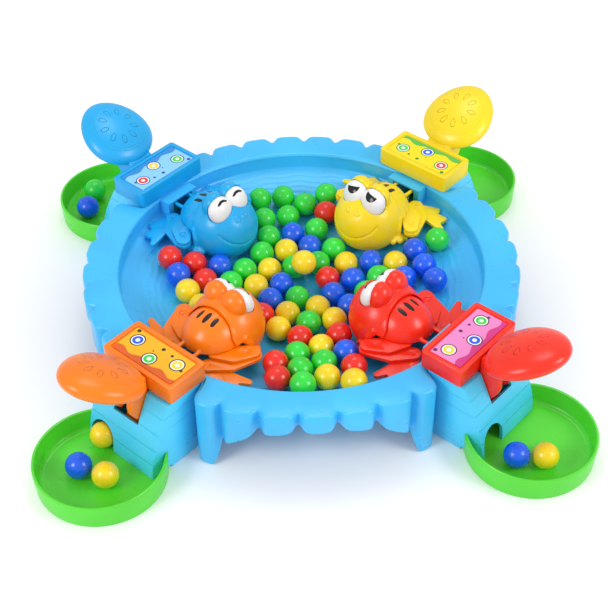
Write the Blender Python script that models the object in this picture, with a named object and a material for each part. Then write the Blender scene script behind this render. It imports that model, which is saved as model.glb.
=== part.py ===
"""Marble grabbing game for four players: four frogs round a dished arena of marbles.

Each player presses an egg-shaped lever outside the arena. A blade on the lever pushes the
frog's tail rails, so the frog lunges over the floor while its folded legs open behind it.
A marble that the frog covers rolls under its tail, through the wall and into the tray.

Every piece of one player's set is modelled once in a station frame, with X pointing out
from the middle of the arena, Y counterclockwise seen from above and Z up, and is then
placed four times. The origin is the middle of the arena on the table.
"""

import math

import bmesh
import bpy
from mathutils import Matrix, Vector

# Players' stations: frog colour and direction from the middle of the arena
STATION_DEGREES = {"yellow": 45, "blue": 135, "orange": 225, "red": 315}
# The frogs face the middle, so a frog's left is the clockwise side
SIDES = {"left": -1, "right": 1}

# Sizes shared by all mouldings
GAP = 0.0003
OVERRUN = 0.002
SHELL_WALL = 0.002
BLEND = 0.0006
WELD = 0.00001
HEAD_FACET_SHARE = 0.6
BODY_FACET_SHARE = 0.75
LEVER_FACET_SHARE = 0.8

# The thin shells below meet at grazing angles, where the exact solver leaves open seams
SOLVER = "MANIFOLD"

# Marbles
MARBLE_RADIUS = 0.0075
MARBLE_SEGMENTS = 8
MARBLE_RINGS = 5

# Arena: a dished floor inside a round wall, under a lobed rim with a skirt
BOWL_RADIUS = 0.109
BOWL_WALL = 0.0022
BOWL_STEPS = 36
RIM_HEIGHT = 0.047
FLOOR_EDGE_HEIGHT = 0.0345
FLOOR_DISH = 0.016
FLOOR_RING_SHARES = (0.84, 0.56, 0.28)
FLOOR_COVE = 0.0015
RIM_PLATE = 0.0018
RIM_ROUND = 0.0018
RIM_LIP = 0.0005
LOBE_CREST_RADIUS = 0.130
LOBE_VALLEY_RADIUS = 0.1245
LOBES_BETWEEN_LEGS = 5
LOBE_DEGREES = 9.75
LEG_LOBE_DEGREES = 7.2
LOBE_POINT_SHARES = (-0.75, 0, 0.75)
NOTCH_POINT_SHARES = (1, 0.36)
LOBE_SQUARENESS = 3
GROOVE_RADIUS = 0.1195
SKIRT_ARCH_HEIGHT = 0.037
SKIRT_HAUNCH_HEIGHT = 0.018
SKIRT_ARCH_POWER = 2.8
SKIRT_SCALLOP = 0.0022
SKIRT_BACK_HEIGHT = 0.0195
LEG_EDGE_SHARES = (0.2, 0, 0)
LEG_GROOVE_SHARE = 0.3

# Chute that leads a marble under the frog's tail and through the wall
CHUTE_HALF_WIDTH = 0.0083
CHUTE_WALL = 0.002
CHUTE_START_RADIUS = 0.0725
CHUTE_BEND_RADIUS = 0.100
CHUTE_FLOOR_HEIGHT = 0.0255
CHUTE_LIP_HEIGHT = 0.0233
BOSS_HALF_WIDTH = 0.0124
BOSS_DEPTH = 0.009
DOORWAY_HEIGHT = 0.0449

# Housing: the hollow moulding outside the wall, with the lever's slot and the arch
HOUSING_HALF_WIDTH = 0.0253
HOUSING_BACK_RADIUS = 0.1124
HOUSING_TOP_RADIUS = 0.1369
HOUSING_SHOULDER = (0.1414, 0.0384)
HOUSING_SLOPE_FOOT = (0.1473, 0.0266)
HOUSING_BELLY = (0.1507, 0.0175)
HOUSING_CHEST = (0.1522, 0.012)
HOUSING_FOOT = (0.1531, 0.006)
HOUSING_FOOT_RADIUS = 0.1533
HOUSING_TRAY_STEP_RADIUS = 0.1384
SLOT_HALF_WIDTH = 0.0095
SLOT_BACK_RADIUS = 0.1285
SLOT_FRONT_RADIUS = 0.146
SLOT_FLOOR_HEIGHT = 0.028
ARCH_WIDTH = 0.0175
ARCH_HEIGHT = 0.019
ARCH_STEPS = 6
RAMP_FOOT_RADIUS = 0.1265
RAMP_FOOT_HEIGHT = 0.0032

# Tray: a round dish that the housing stands in
TRAY_RADIUS = 0.037
TRAY_BASE_RADIUS = 0.0363
TRAY_CENTRE_RADIUS = 0.1672
TRAY_HEIGHT = 0.0153
TRAY_FLOOR = 0.0024
TRAY_WALL = 0.0018
TRAY_COVE = 0.0018
TRAY_STEPS = 22

# Plaque: the name plate over the joint between arena and housing
PLAQUE_BACK_RADIUS = 0.1078
PLAQUE_LENGTH = 0.0271
PLAQUE_HALF_WIDTH = 0.026
PLAQUE_HEIGHT = 0.058
PLAQUE_CORNER = 0.002
PLAQUE_BORDER = 0.0028
PLAQUE_RECESS = 0.0008
PLAQUE_EDGE = 0.0006

# Lever: egg-shaped paddle, two arms, a hub on trunnions and a blade with a cross pin
LEVER_AXIS_RADIUS = 0.134
LEVER_AXIS_HEIGHT = 0.042
LEVER_TRAVEL_DEGREES = 38
HUB_RADIUS = 0.0036
HUB_HALF_WIDTH = 0.0092
TRUNNION_RADIUS = 0.0016
BEARING_WALL = 0.002
PADDLE_CENTRE = (0.1588, 0.0679)
PADDLE_TILT_DEGREES = 25.9
PADDLE_HALF_LENGTH = 0.0243
PADDLE_HALF_WIDTH = 0.0227
PADDLE_CROWN = 0.0095
PADDLE_KEEL = 0.0079
PADDLE_EGG_SHARE = 0.118
PADDLE_SEGMENTS = 14
PADDLE_RINGS = 6
ARM_INNER_HALF_WIDTH = 0.005
ARM_SWEEP_RADIUS = 0.0146
ARM_SWEEP_DEGREES = (-50, 20)
ARM_SWEEP_STEPS = 4
ARM_WEB = 0.0018
BLADE_LENGTH = 0.026
BLADE_LEAN_DEGREES = 20
BLADE_HALF_WIDTH = 0.0046
BLADE_THICKNESS = 0.003
PIN_RADIUS = 0.0015
PIN_HALF_LENGTH = 0.0076
PIN_STEPS = 6

# Return spring round the longer trunnion
SPRING_WIRE_RADIUS = 0.0004
SPRING_RADIUS = 0.0023
SPRING_TURNS = 3
SPRING_PITCH = 0.0015
SPRING_POINTS_PER_TURN = 8
SPRING_TAIL = 0.002
SPRING_REACH = (0.0014, -0.0042)
LUG_WIDTH = 0.002

# Frog's body: a dome turned about a tangential line, with two tail rails
BODY_AXIS_RADIUS = 0.075
BODY_AXIS_HEIGHT = 0.036
BODY_DOME_RADIUS = 0.0215
BODY_HALF_WIDTH = 0.0189
BODY_RIM_HEIGHT = 0.0421
BODY_FRONT_RADIUS = 0.067
BODY_SEGMENTS = 14
BODY_RINGS = 8
RAIL_INNER = 0.005
RAIL_OUTER = 0.007
RAIL_TOP = 0.0444
RAIL_DEPTH = 0.0022
RAIL_ROOT_RADIUS = 0.086
RAIL_BEND_RADIUS = 0.113
RAIL_KNEE = (0.128, 0.031)
FORK_HALF_LENGTH = 0.0039
FORK_TOP = 0.0215
FORK_BOTTOM = 0.0132
FORK_PLAY = 0.00035

# Frog's head: an egg with two eye domes and a collar, hinged at the neck
HEAD_CENTRE_RADIUS = 0.0648
HEAD_CENTRE_HEIGHT = 0.0401
HEAD_HALF_LENGTH = 0.022
HEAD_HALF_WIDTH = 0.0217
HEAD_HALF_HEIGHT = 0.022
HEAD_WALL = 0.0022
HEAD_SEGMENTS = 14
HEAD_RINGS = 8
HOLLOW_SEGMENTS = 8
HOLLOW_RINGS = 6
CHIN_HEIGHT = 0.0283
COLLAR_WALL = 0.0018
COLLAR_GAP = 0.0007
NECK_RADIUS = 0.075
NECK_HEIGHT = 0.046
NECK_PIN_RADIUS = 0.0015
NECK_PIN_SKIN = 0.0006
HEAD_TIP_DEGREES = 18
HEAD_BACK_EDGE = ((0.0560, 0.0283), (0.0680, 0.0320), (0.0680, 0.0432), (0.0774, 0.0438), (0.0779, 0.048), (0.0752, 0.054), (0.0735, 0.062))
EYE_DOME_CENTRE = (0.0648, 0.0065, 0.0594)
EYE_DOME_SIZE = (0.0070, 0.0082, 0.0090)
EYE_CENTRE = (0.0597, 0.0067, 0.0582)
EYE_SIZE = (0.0062, 0.0084, 0.0090)
EYE_SEGMENTS = 8
EYE_RINGS = 6
EYE_LEAN_DEGREES = 20
EYE_GAP = 0.00035

# Legs: a thigh leaf over a lower leg, whose webbed foot lies one step down, on each side
LEAF_THICKNESS = 0.002
FOOT_HEIGHT = 0.0352
ANKLE = (0.095, 0.014)
KNEE = (0.0755, 0.0245)
HIP = (0.084, 0.010)
LEG_PIN_RADIUS = 0.0014
LEG_PIN_STEPS = 6
ANKLE_POST_RADIUS = 0.0032
HIP_BOSS_RADIUS = 0.0028
KNEE_PIN_RADIUS = 0.001
KNEE_PLAY = 0.0019
ANKLE_LEAF_RADIUS = 0.0044
SHIN_MIDDLE = (0.086, 0.0228)
SHIN_MIDDLE_RADIUS = 0.0052
SHIN_END = (0.073, 0.0275)
SHIN_END_RADIUS = 0.005
THIGH_END = (0.0727, 0.0272)
THIGH_END_RADIUS = 0.0044
THIGH_MIDDLE = (0.082, 0.0208)
THIGH_MIDDLE_RADIUS = 0.0052
THIGH_ROOT = (0.0865, 0.012)
THIGH_ROOT_RADIUS = 0.0048
LEAF_STEPS = 8
TOES = ((0.0885, 0.0385), (0.0975, 0.0345), (0.102, 0.026))
TOE_WEBS = ((0.0925, 0.033), (0.0975, 0.0275))
TOE_RADIUS = 0.0018
TOE_STEPS = 2

# Marbles: (colour, share of the bowl's radius along X, along Y) in the middle of the arena
ARENA_MARBLE_SHARES = (
    ("red", 0.15, 0.05), ("green", -0.03, -0.10), ("blue", -0.11, 0.02), ("yellow", -0.254, 0.01),
    ("red", -0.04, -0.45),
)
# Marbles won so far: (station, colour, distance from the arena's middle, distance aside)
TRAY_MARBLES = (
    ("orange", "blue", 0.1764, -0.0076), ("orange", "yellow", 0.1714, 0.0083),
    ("red", "blue", 0.169, -0.0162), ("red", "yellow", 0.1812, -0.0063),
    ("blue", "green", 0.1859, 0.0022), ("blue", "blue", 0.1753, 0.0182),
)


# Plain helpers for points

def polar(radius, degrees):
    """Point of the plane at a radius and an angle."""
    turn = math.radians(degrees)
    return radius * math.cos(turn), radius * math.sin(turn)


def arc(centre, radius, first, last, steps):
    """Points along an arc, both ends included."""
    points = []
    for step in range(steps + 1):
        x, z = polar(radius, first + (last - first) * step / steps)
        points.append((centre[0] + x, centre[1] + z))
    return points


def inset(outline, distance):
    """Outline moved inwards by a distance, for points that run counterclockwise."""
    moved = []
    for index, point in enumerate(outline):
        here = Vector(point)
        before = (here - Vector(outline[index - 1])).normalized()
        after = (Vector(outline[(index + 1) % len(outline)]) - here).normalized()
        side = Vector((-before.y - after.y, before.x + after.x)).normalized()
        stretch = max(side.dot(Vector((-before.y, before.x))), 0.6)
        moved.append(tuple(here + side * distance / stretch))
    return moved


# Solids

def new_object(name, shape):
    """Object made from a bmesh, with its faces turned outwards."""
    bmesh.ops.recalc_face_normals(shape, faces=shape.faces)
    mesh = bpy.data.meshes.new(name)
    shape.to_mesh(mesh)
    shape.free()
    made = bpy.data.objects.new(name, mesh)
    bpy.context.collection.objects.link(made)
    return made


def extruded(name, corners, travel):
    """Solid swept by a flat outline along a vector."""
    shape = bmesh.new()
    face = shape.faces.new([shape.verts.new(corner) for corner in corners])
    grown = bmesh.ops.extrude_face_region(shape, geom=[face])
    ends = [item for item in grown["geom"] if isinstance(item, bmesh.types.BMVert)]
    bmesh.ops.translate(shape, verts=ends, vec=travel)
    return new_object(name, shape)


def side_prism(name, outline, low, high):
    """Outline in radius and height, extruded across the station from low to high."""
    return extruded(name, [(x, low, z) for x, z in outline], (0, high - low, 0))


def plate(name, outline, low, high):
    """Outline seen from above, extruded upwards."""
    return extruded(name, [(x, y, low) for x, y in outline], (0, 0, high - low))


def front_prism(name, outline, low, high):
    """Outline across the station and in height, extruded outwards."""
    return extruded(name, [(low, y, z) for y, z in outline], (high - low, 0, 0))


def box(name, first, last):
    """Block between two opposite corners."""
    outline = [(first[0], first[1]), (last[0], first[1]), (last[0], last[1]), (first[0], last[1])]
    return plate(name, outline, first[2], last[2])


def lofted(name, loops):
    """Closed ring whose cross-section runs through the loops, each with as many points."""
    shape = bmesh.new()
    rings = [[shape.verts.new(point) for point in loop] for loop in loops]
    count = len(loops[0])
    for ring, following in zip(rings, rings[1:] + rings[:1]):
        for index in range(count):
            after = (index + 1) % count
            shape.faces.new((ring[index], ring[after], following[after], following[index]))
    return new_object(name, shape)


def turned(name, profile, steps):
    """Solid of revolution about Z from points (radius, height), whose ends lie on the axis."""
    shape = bmesh.new()
    rings = []
    for radius, height in profile:
        count = steps if radius else 1
        ring = []
        for step in range(count):
            x, y = polar(radius, 360 * step / steps)
            ring.append(shape.verts.new((x, y, height)))
        rings.append(ring)
    for ring, following in zip(rings, rings[1:]):
        for step in range(steps):
            after = (step + 1) % steps
            corners = [ring[step % len(ring)], ring[after % len(ring)]]
            corners += [following[after % len(following)], following[step % len(following)]]
            unlike = list(dict.fromkeys(corners))
            if len(unlike) > 2:
                shape.faces.new(unlike)
    return new_object(name, shape)


def ball(name, centre, size, segments, rings, poles="Z"):
    """Ellipsoid with its poles up or across the station."""
    shape = bmesh.new()
    bmesh.ops.create_uvsphere(shape, u_segments=segments, v_segments=rings, radius=1)
    if poles == "Y":
        bmesh.ops.rotate(shape, verts=shape.verts, matrix=Matrix.Rotation(math.pi / 2, 3, "X"))
    bmesh.ops.scale(shape, verts=shape.verts, vec=size)
    bmesh.ops.translate(shape, verts=shape.verts, vec=centre)
    return new_object(name, shape)


def rod(name, start, end, radius, steps):
    """Round bar between two points."""
    first, last = Vector(start), Vector(end)
    shape = bmesh.new()
    bmesh.ops.create_cone(
        shape, cap_ends=True, segments=steps, radius1=radius, radius2=radius, depth=(last - first).length
    )
    turn = (last - first).to_track_quat("Z", "Y").to_matrix()
    bmesh.ops.rotate(shape, verts=shape.verts, matrix=turn)
    bmesh.ops.translate(shape, verts=shape.verts, vec=(first + last) / 2)
    return new_object(name, shape)


def leaf(name, circles, low, high, steps=LEAF_STEPS):
    """Flat plate whose outline is drawn tight round circles (centre, radius)."""
    shape = bmesh.new()
    for centre, radius in circles:
        for step in range(steps):
            x, y = polar(radius, 360 * step / steps)
            shape.verts.new((centre[0] + x, centre[1] + y, 0))
    hull = bmesh.ops.convex_hull(shape, input=shape.verts)
    unused = [item for item in hull["geom_interior"] if isinstance(item, bmesh.types.BMVert)]
    bmesh.ops.delete(shape, geom=unused, context="VERTS")
    outline = [(vert.co.x, vert.co.y) for vert in shape.verts]
    shape.free()
    middle = sum((Vector(point) for point in outline), Vector((0, 0))) / len(outline)
    outline.sort(key=lambda point: math.atan2(point[1] - middle.y, point[0] - middle.x))
    return plate(name, outline, low, high)


def combined(base, tool, operation):
    """Join a tool to a base, or cut it out, and remove the tool."""
    modifier = base.modifiers.new(operation.lower(), "BOOLEAN")
    modifier.operation = operation
    modifier.solver = SOLVER
    modifier.object = tool
    bpy.context.view_layer.update()
    result = base.evaluated_get(bpy.context.evaluated_depsgraph_get())
    mesh = bpy.data.meshes.new_from_object(result)
    base.modifiers.clear()
    base.data = mesh
    bpy.data.objects.remove(tool)
    return base


def join(base, *tools):
    """Union of solids."""
    for tool in tools:
        combined(base, tool, "UNION")
    return base


def cut(base, *tools):
    """Base without the tools."""
    for tool in tools:
        combined(base, tool, "DIFFERENCE")
    return base


def lightened(node, share):
    """Drop the needless facets that Booleans leave, down to a share of them."""
    modifier = node.modifiers.new("lighten", "DECIMATE")
    modifier.ratio = share
    bpy.context.view_layer.update()
    result = node.evaluated_get(bpy.context.evaluated_depsgraph_get())
    mesh = bpy.data.meshes.new_from_object(result)
    node.modifiers.clear()
    node.data = mesh
    return node


# Heights that several pieces share

def floor_height(radius):
    """Height of the dished floor at a radius."""
    return FLOOR_EDGE_HEIGHT - FLOOR_DISH + FLOOR_DISH * (radius / BOWL_RADIUS) ** 2


SHIN_HEIGHT = FOOT_HEIGHT + LEAF_THICKNESS + GAP
THIGH_HEIGHT = SHIN_HEIGHT + LEAF_THICKNESS + GAP
PLAQUE_UNDERSIDE = RIM_HEIGHT + GAP
NOTCH_RADIUS = HOUSING_BACK_RADIUS - GAP
NOTCH_HALF_WIDTH = HOUSING_HALF_WIDTH + 2 * GAP
BLADE_TIP = (
    LEVER_AXIS_RADIUS + BLADE_LENGTH * math.sin(math.radians(BLADE_LEAN_DEGREES)),
    LEVER_AXIS_HEIGHT - BLADE_LENGTH * math.cos(math.radians(BLADE_LEAN_DEGREES)),
)
PRESSED_LEAN = math.radians(BLADE_LEAN_DEGREES - LEVER_TRAVEL_DEGREES)
FROG_STROKE = BLADE_TIP[0] - LEVER_AXIS_RADIUS - BLADE_LENGTH * math.sin(PRESSED_LEAN)


# Arena

def skirt_height(degrees):
    """Height of the skirt's arched lower edge, without its scallops."""
    haunch = LOBES_BETWEEN_LEGS * LOBE_DEGREES / 2
    share = (abs(degrees) / haunch) ** SKIRT_ARCH_POWER
    return SKIRT_ARCH_HEIGHT - (SKIRT_ARCH_HEIGHT - SKIRT_HAUNCH_HEIGHT) * share


def half_quadrant():
    """Rim outline from the middle of a side to the notch of a station, with the skirt's height.

    Each entry is (radius, degrees from the middle of the side, height of the lower edge).
    """
    def lobe_radius(share, valley):
        rise = math.sqrt(1 - abs(share) ** LOBE_SQUARENESS)
        return valley + (LOBE_CREST_RADIUS - valley) * rise

    points = []
    for lobe in range((LOBES_BETWEEN_LEGS + 1) // 2):
        middle = lobe * LOBE_DEGREES
        for share in LOBE_POINT_SHARES:
            degrees = middle + share * LOBE_DEGREES / 2
            if degrees < 0 or (degrees == 0 and share < 0):
                continue
            drop = SKIRT_SCALLOP * (1 - share ** 2)
            points.append((lobe_radius(share, LOBE_VALLEY_RADIUS), degrees, skirt_height(degrees) - drop))
        edge = middle + LOBE_DEGREES / 2
        points.append((LOBE_VALLEY_RADIUS, edge, skirt_height(edge)))
    haunch = LOBES_BETWEEN_LEGS * LOBE_DEGREES / 2
    for share, height_share in zip(LOBE_POINT_SHARES, LEG_EDGE_SHARES):
        degrees = haunch + (1 + share) * LEG_LOBE_DEGREES / 2
        valley = LOBE_VALLEY_RADIUS if share < 0 else GROOVE_RADIUS
        points.append((lobe_radius(share, valley), degrees, height_share * SKIRT_HAUNCH_HEIGHT))
    points.append((GROOVE_RADIUS, haunch + LEG_LOBE_DEGREES, LEG_GROOVE_SHARE * SKIRT_HAUNCH_HEIGHT))
    for share in NOTCH_POINT_SHARES:
        corner = Vector((NOTCH_RADIUS, share * NOTCH_HALF_WIDTH))
        turn = 45 - math.degrees(math.atan2(corner.y, corner.x))
        points.append((corner.length, turn, SKIRT_BACK_HEIGHT))
    return points


def build_arena():
    """Bowl, rim and skirt in one moulding, with the doorways, chutes and ankle posts."""
    half = half_quadrant()
    around = [(radius, -degrees, height) for radius, degrees, height in reversed(half[1:])] + half
    outline = []
    edge = []
    for side in range(4):
        for radius, degrees, height in around:
            outline.append(polar(radius, 90 * side + degrees))
            edge.append(height)
    crown = inset(outline, RIM_ROUND)
    back = inset(outline, SHELL_WALL)
    directions = [math.degrees(math.atan2(y, x)) for x, y in outline]
    brow = [polar(BOWL_RADIUS - RIM_LIP, degrees) for degrees in directions]
    root = [polar(BOWL_RADIUS + BLEND, degrees) for degrees in directions]

    def level(points, height):
        return [(x, y, height) for x, y in points]

    rim_underside = RIM_HEIGHT - SHELL_WALL
    rim = lofted("rim", [
        level(brow, RIM_HEIGHT),
        level(crown, RIM_HEIGHT),
        level(outline, RIM_HEIGHT - RIM_PLATE),
        [(x, y, z) for (x, y), z in zip(outline, edge)],
        [(x, y, z) for (x, y), z in zip(back, edge)],
        level(back, rim_underside),
        level(root, rim_underside),
    ])
    bowl_top = RIM_HEIGHT - RIM_LIP
    profile = [(0, floor_height(0))]
    profile += [(share * BOWL_RADIUS, floor_height(share * BOWL_RADIUS)) for share in reversed(FLOOR_RING_SHARES)]
    profile += [(BOWL_RADIUS - FLOOR_COVE, floor_height(BOWL_RADIUS))]
    profile += [(BOWL_RADIUS, FLOOR_EDGE_HEIGHT + FLOOR_COVE), (BOWL_RADIUS, bowl_top)]
    profile += [(BOWL_RADIUS + BOWL_WALL, bowl_top), (BOWL_RADIUS + BOWL_WALL, FLOOR_EDGE_HEIGHT - BOWL_WALL)]
    for share in FLOOR_RING_SHARES:
        profile.append((share * BOWL_RADIUS, floor_height(share * BOWL_RADIUS) - BOWL_WALL))
    profile.append((0, floor_height(0) - BOWL_WALL))
    arena = join(turned("arena", profile, BOWL_STEPS), rim)
    for degrees in STATION_DEGREES.values():
        turn = Matrix.Rotation(math.radians(degrees), 4, "Z")
        for solid in doorway_solids():
            solid.data.transform(turn)
            join(arena, solid)
        cutter = doorway_cutter()
        cutter.data.transform(turn)
        cut(arena, cutter)
    return arena


def doorway_solids():
    """Boss round the doorway, trough of the chute and the two ankle posts, at one station."""
    boss_face = BOWL_RADIUS - BOSS_DEPTH
    boss_middle = BOWL_RADIUS + BOWL_WALL / 2
    floor = floor_height(boss_face) - BOWL_WALL / 2
    boss_top = RIM_HEIGHT - RIM_PLATE / 2
    boss = box("boss", (boss_face, -BOSS_HALF_WIDTH, floor), (boss_middle, BOSS_HALF_WIDTH, boss_top))
    outer = CHUTE_HALF_WIDTH + CHUTE_WALL
    trough = side_prism("trough", [
        (CHUTE_START_RADIUS, CHUTE_FLOOR_HEIGHT - CHUTE_WALL),
        (CHUTE_BEND_RADIUS, CHUTE_FLOOR_HEIGHT - CHUTE_WALL),
        (NOTCH_RADIUS - BLEND, CHUTE_LIP_HEIGHT - CHUTE_WALL),
        (NOTCH_RADIUS - BLEND, FLOOR_EDGE_HEIGHT),
        (BOWL_RADIUS + BLEND, FLOOR_EDGE_HEIGHT),
        (BOWL_RADIUS + BLEND, floor_height(BOWL_RADIUS) - BOWL_WALL / 2),
        (CHUTE_START_RADIUS, floor_height(CHUTE_START_RADIUS) - BOWL_WALL / 2),
    ], -outer, outer)
    solids = [boss, trough]
    for side in SIDES.values():
        x, y = ANKLE[0], side * ANKLE[1]
        foot = floor_height(math.hypot(x, y)) - BOWL_WALL / 2
        rest = FOOT_HEIGHT - GAP
        tip = SHIN_HEIGHT + LEAF_THICKNESS - GAP
        post = rod("ankle_post", (x, y, foot), (x, y, rest), ANKLE_POST_RADIUS, LEG_PIN_STEPS)
        pin = rod("ankle_pin", (x, y, foot), (x, y, tip), LEG_PIN_RADIUS, LEG_PIN_STEPS)
        solids.append(join(post, pin))
    return solids


def doorway_cutter():
    """Space of the chute and of the doorway through boss and wall."""
    boss_face = BOWL_RADIUS - BOSS_DEPTH
    end = NOTCH_RADIUS + OVERRUN
    return side_prism("doorway", [
        (CHUTE_START_RADIUS, floor_height(CHUTE_START_RADIUS)),
        (CHUTE_START_RADIUS + CHUTE_WALL, CHUTE_FLOOR_HEIGHT),
        (CHUTE_BEND_RADIUS, CHUTE_FLOOR_HEIGHT),
        (end, CHUTE_LIP_HEIGHT),
        (end, DOORWAY_HEIGHT),
        (boss_face - OVERRUN, DOORWAY_HEIGHT),
        (CHUTE_START_RADIUS, DOORWAY_HEIGHT),
    ], -CHUTE_HALF_WIDTH, CHUTE_HALF_WIDTH)


# Housing

def build_housing():
    """Hollow housing with slot, bearings, ramp and arch."""
    top = RIM_HEIGHT
    outer = [
        (HOUSING_BACK_RADIUS, 0), (HOUSING_FOOT_RADIUS, 0), HOUSING_FOOT, HOUSING_CHEST, HOUSING_BELLY,
        HOUSING_SLOPE_FOOT, HOUSING_SHOULDER, (HOUSING_TOP_RADIUS, top), (HOUSING_BACK_RADIUS, top),
    ]
    inner = inset(outer, SHELL_WALL)
    inner[0] = (inner[0][0], -OVERRUN)
    inner[1] = (inner[1][0], -OVERRUN)
    inside = HOUSING_HALF_WIDTH - SHELL_WALL
    housing = side_prism("housing", outer, -HOUSING_HALF_WIDTH, HOUSING_HALF_WIDTH)
    cut(housing, side_prism("hollow", inner, -inside, inside))
    ramp_back = HOUSING_BACK_RADIUS + BLEND
    mouth = CHUTE_LIP_HEIGHT - GAP
    ramp = side_prism("ramp", [
        (ramp_back, mouth - SHELL_WALL), (RAMP_FOOT_RADIUS - SHELL_WALL, RAMP_FOOT_HEIGHT),
        (RAMP_FOOT_RADIUS, RAMP_FOOT_HEIGHT), (HOUSING_BACK_RADIUS + SHELL_WALL, mouth), (ramp_back, mouth),
    ], -inside - BLEND, inside + BLEND)
    rib_inner = HUB_HALF_WIDTH + 2 * GAP
    rib_outer = rib_inner + BEARING_WALL
    axis = (LEVER_AXIS_RADIUS, LEVER_AXIS_HEIGHT)
    rib_depth = HUB_RADIUS + SHELL_WALL
    rib_top = top - SHELL_WALL / 2
    rib = [(axis[0] - rib_depth, rib_top), (axis[0] - rib_depth, axis[1])]
    rib += arc(axis, rib_depth, 180, 330, ARCH_STEPS // 2)
    rib += [(HOUSING_TOP_RADIUS, rib_top)]
    ribs = [
        side_prism("rib", rib, rib_inner, rib_outer),
        side_prism("rib", rib, -rib_outer, -rib_inner),
    ]
    join(housing, ramp, *ribs)
    reach = rib_outer + OVERRUN
    bearing = rod(
        "bearing", (axis[0], -reach, axis[1]), (axis[0], reach, axis[1]), TRUNNION_RADIUS + GAP, ARCH_STEPS * 2
    )
    slot = box(
        "slot", (SLOT_BACK_RADIUS, -SLOT_HALF_WIDTH, SLOT_FLOOR_HEIGHT),
        (SLOT_FRONT_RADIUS, SLOT_HALF_WIDTH, top + OVERRUN),
    )
    half_arch = ARCH_WIDTH / 2
    arch_middle = half_arch - inside
    springing = (arch_middle, ARCH_HEIGHT - half_arch)
    arch = [(arch_middle - half_arch, -OVERRUN), (arch_middle + half_arch, -OVERRUN)]
    arch += arc(springing, half_arch, 0, 180, ARCH_STEPS)
    archway = front_prism(
        "archway", arch, HOUSING_BELLY[0] - SHELL_WALL - OVERRUN, HOUSING_FOOT_RADIUS + OVERRUN
    )
    door = box(
        "door", (HOUSING_BACK_RADIUS - OVERRUN, -CHUTE_HALF_WIDTH, mouth),
        (HOUSING_BACK_RADIUS + SHELL_WALL + OVERRUN, CHUTE_HALF_WIDTH, DOORWAY_HEIGHT),
    )
    tray_step = box(
        "tray_step", (HOUSING_TRAY_STEP_RADIUS, -HOUSING_HALF_WIDTH - OVERRUN, -OVERRUN),
        (HOUSING_FOOT_RADIUS + OVERRUN, HOUSING_HALF_WIDTH + OVERRUN, TRAY_FLOOR + GAP),
    )
    return cut(housing, bearing, slot, archway, door, tray_step)


# Tray

def build_tray():
    """Round dish, its wall open where the housing stands."""
    profile = [
        (0, 0), (TRAY_BASE_RADIUS - BLEND, 0), (TRAY_BASE_RADIUS, BLEND), (TRAY_RADIUS, TRAY_HEIGHT),
        (TRAY_RADIUS - TRAY_WALL, TRAY_HEIGHT), (TRAY_BASE_RADIUS - TRAY_WALL, TRAY_FLOOR + TRAY_COVE),
        (TRAY_BASE_RADIUS - TRAY_WALL - TRAY_COVE, TRAY_FLOOR), (0, TRAY_FLOOR),
    ]
    tray = turned("tray", profile, TRAY_STEPS)
    tray.data.transform(Matrix.Translation((TRAY_CENTRE_RADIUS, 0, 0)))
    opening = HOUSING_HALF_WIDTH + GAP
    gate = box(
        "gate", (TRAY_CENTRE_RADIUS - TRAY_RADIUS - OVERRUN, -opening, TRAY_FLOOR),
        (TRAY_CENTRE_RADIUS - TRAY_WALL, opening, TRAY_HEIGHT + OVERRUN),
    )
    return cut(tray, gate)


# Plaque

def build_plaque():
    """Name plate with rounded corners and a recess for its label."""
    front = PLAQUE_BACK_RADIUS + PLAQUE_LENGTH

    def rounded(margin, corner):
        low, high = PLAQUE_BACK_RADIUS + margin, front - margin
        side = PLAQUE_HALF_WIDTH - margin
        points = arc((high - corner, side - corner), corner, 0, 90, 2)
        points += arc((low + corner, side - corner), corner, 90, 180, 2)
        points += arc((low + corner, corner - side), corner, 180, 270, 2)
        points += arc((high - corner, corner - side), corner, 270, 360, 2)
        return points

    shape = bmesh.new()
    loops = [
        (rounded(0, PLAQUE_CORNER), PLAQUE_UNDERSIDE),
        (rounded(0, PLAQUE_CORNER), PLAQUE_HEIGHT - PLAQUE_EDGE),
        (rounded(PLAQUE_EDGE, PLAQUE_CORNER - PLAQUE_EDGE), PLAQUE_HEIGHT),
        (rounded(PLAQUE_BORDER, PLAQUE_EDGE), PLAQUE_HEIGHT),
        (rounded(PLAQUE_BORDER, PLAQUE_EDGE), PLAQUE_HEIGHT - PLAQUE_RECESS),
    ]
    rings = [[shape.verts.new((x, y, z)) for x, y in points] for points, z in loops]
    for ring, following in zip(rings, rings[1:]):
        for index in range(len(ring)):
            after = (index + 1) % len(ring)
            shape.faces.new((ring[index], ring[after], following[after], following[index]))
    shape.faces.new(rings[0])
    shape.faces.new(rings[-1])
    return new_object("plaque", shape)


# Lever

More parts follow.
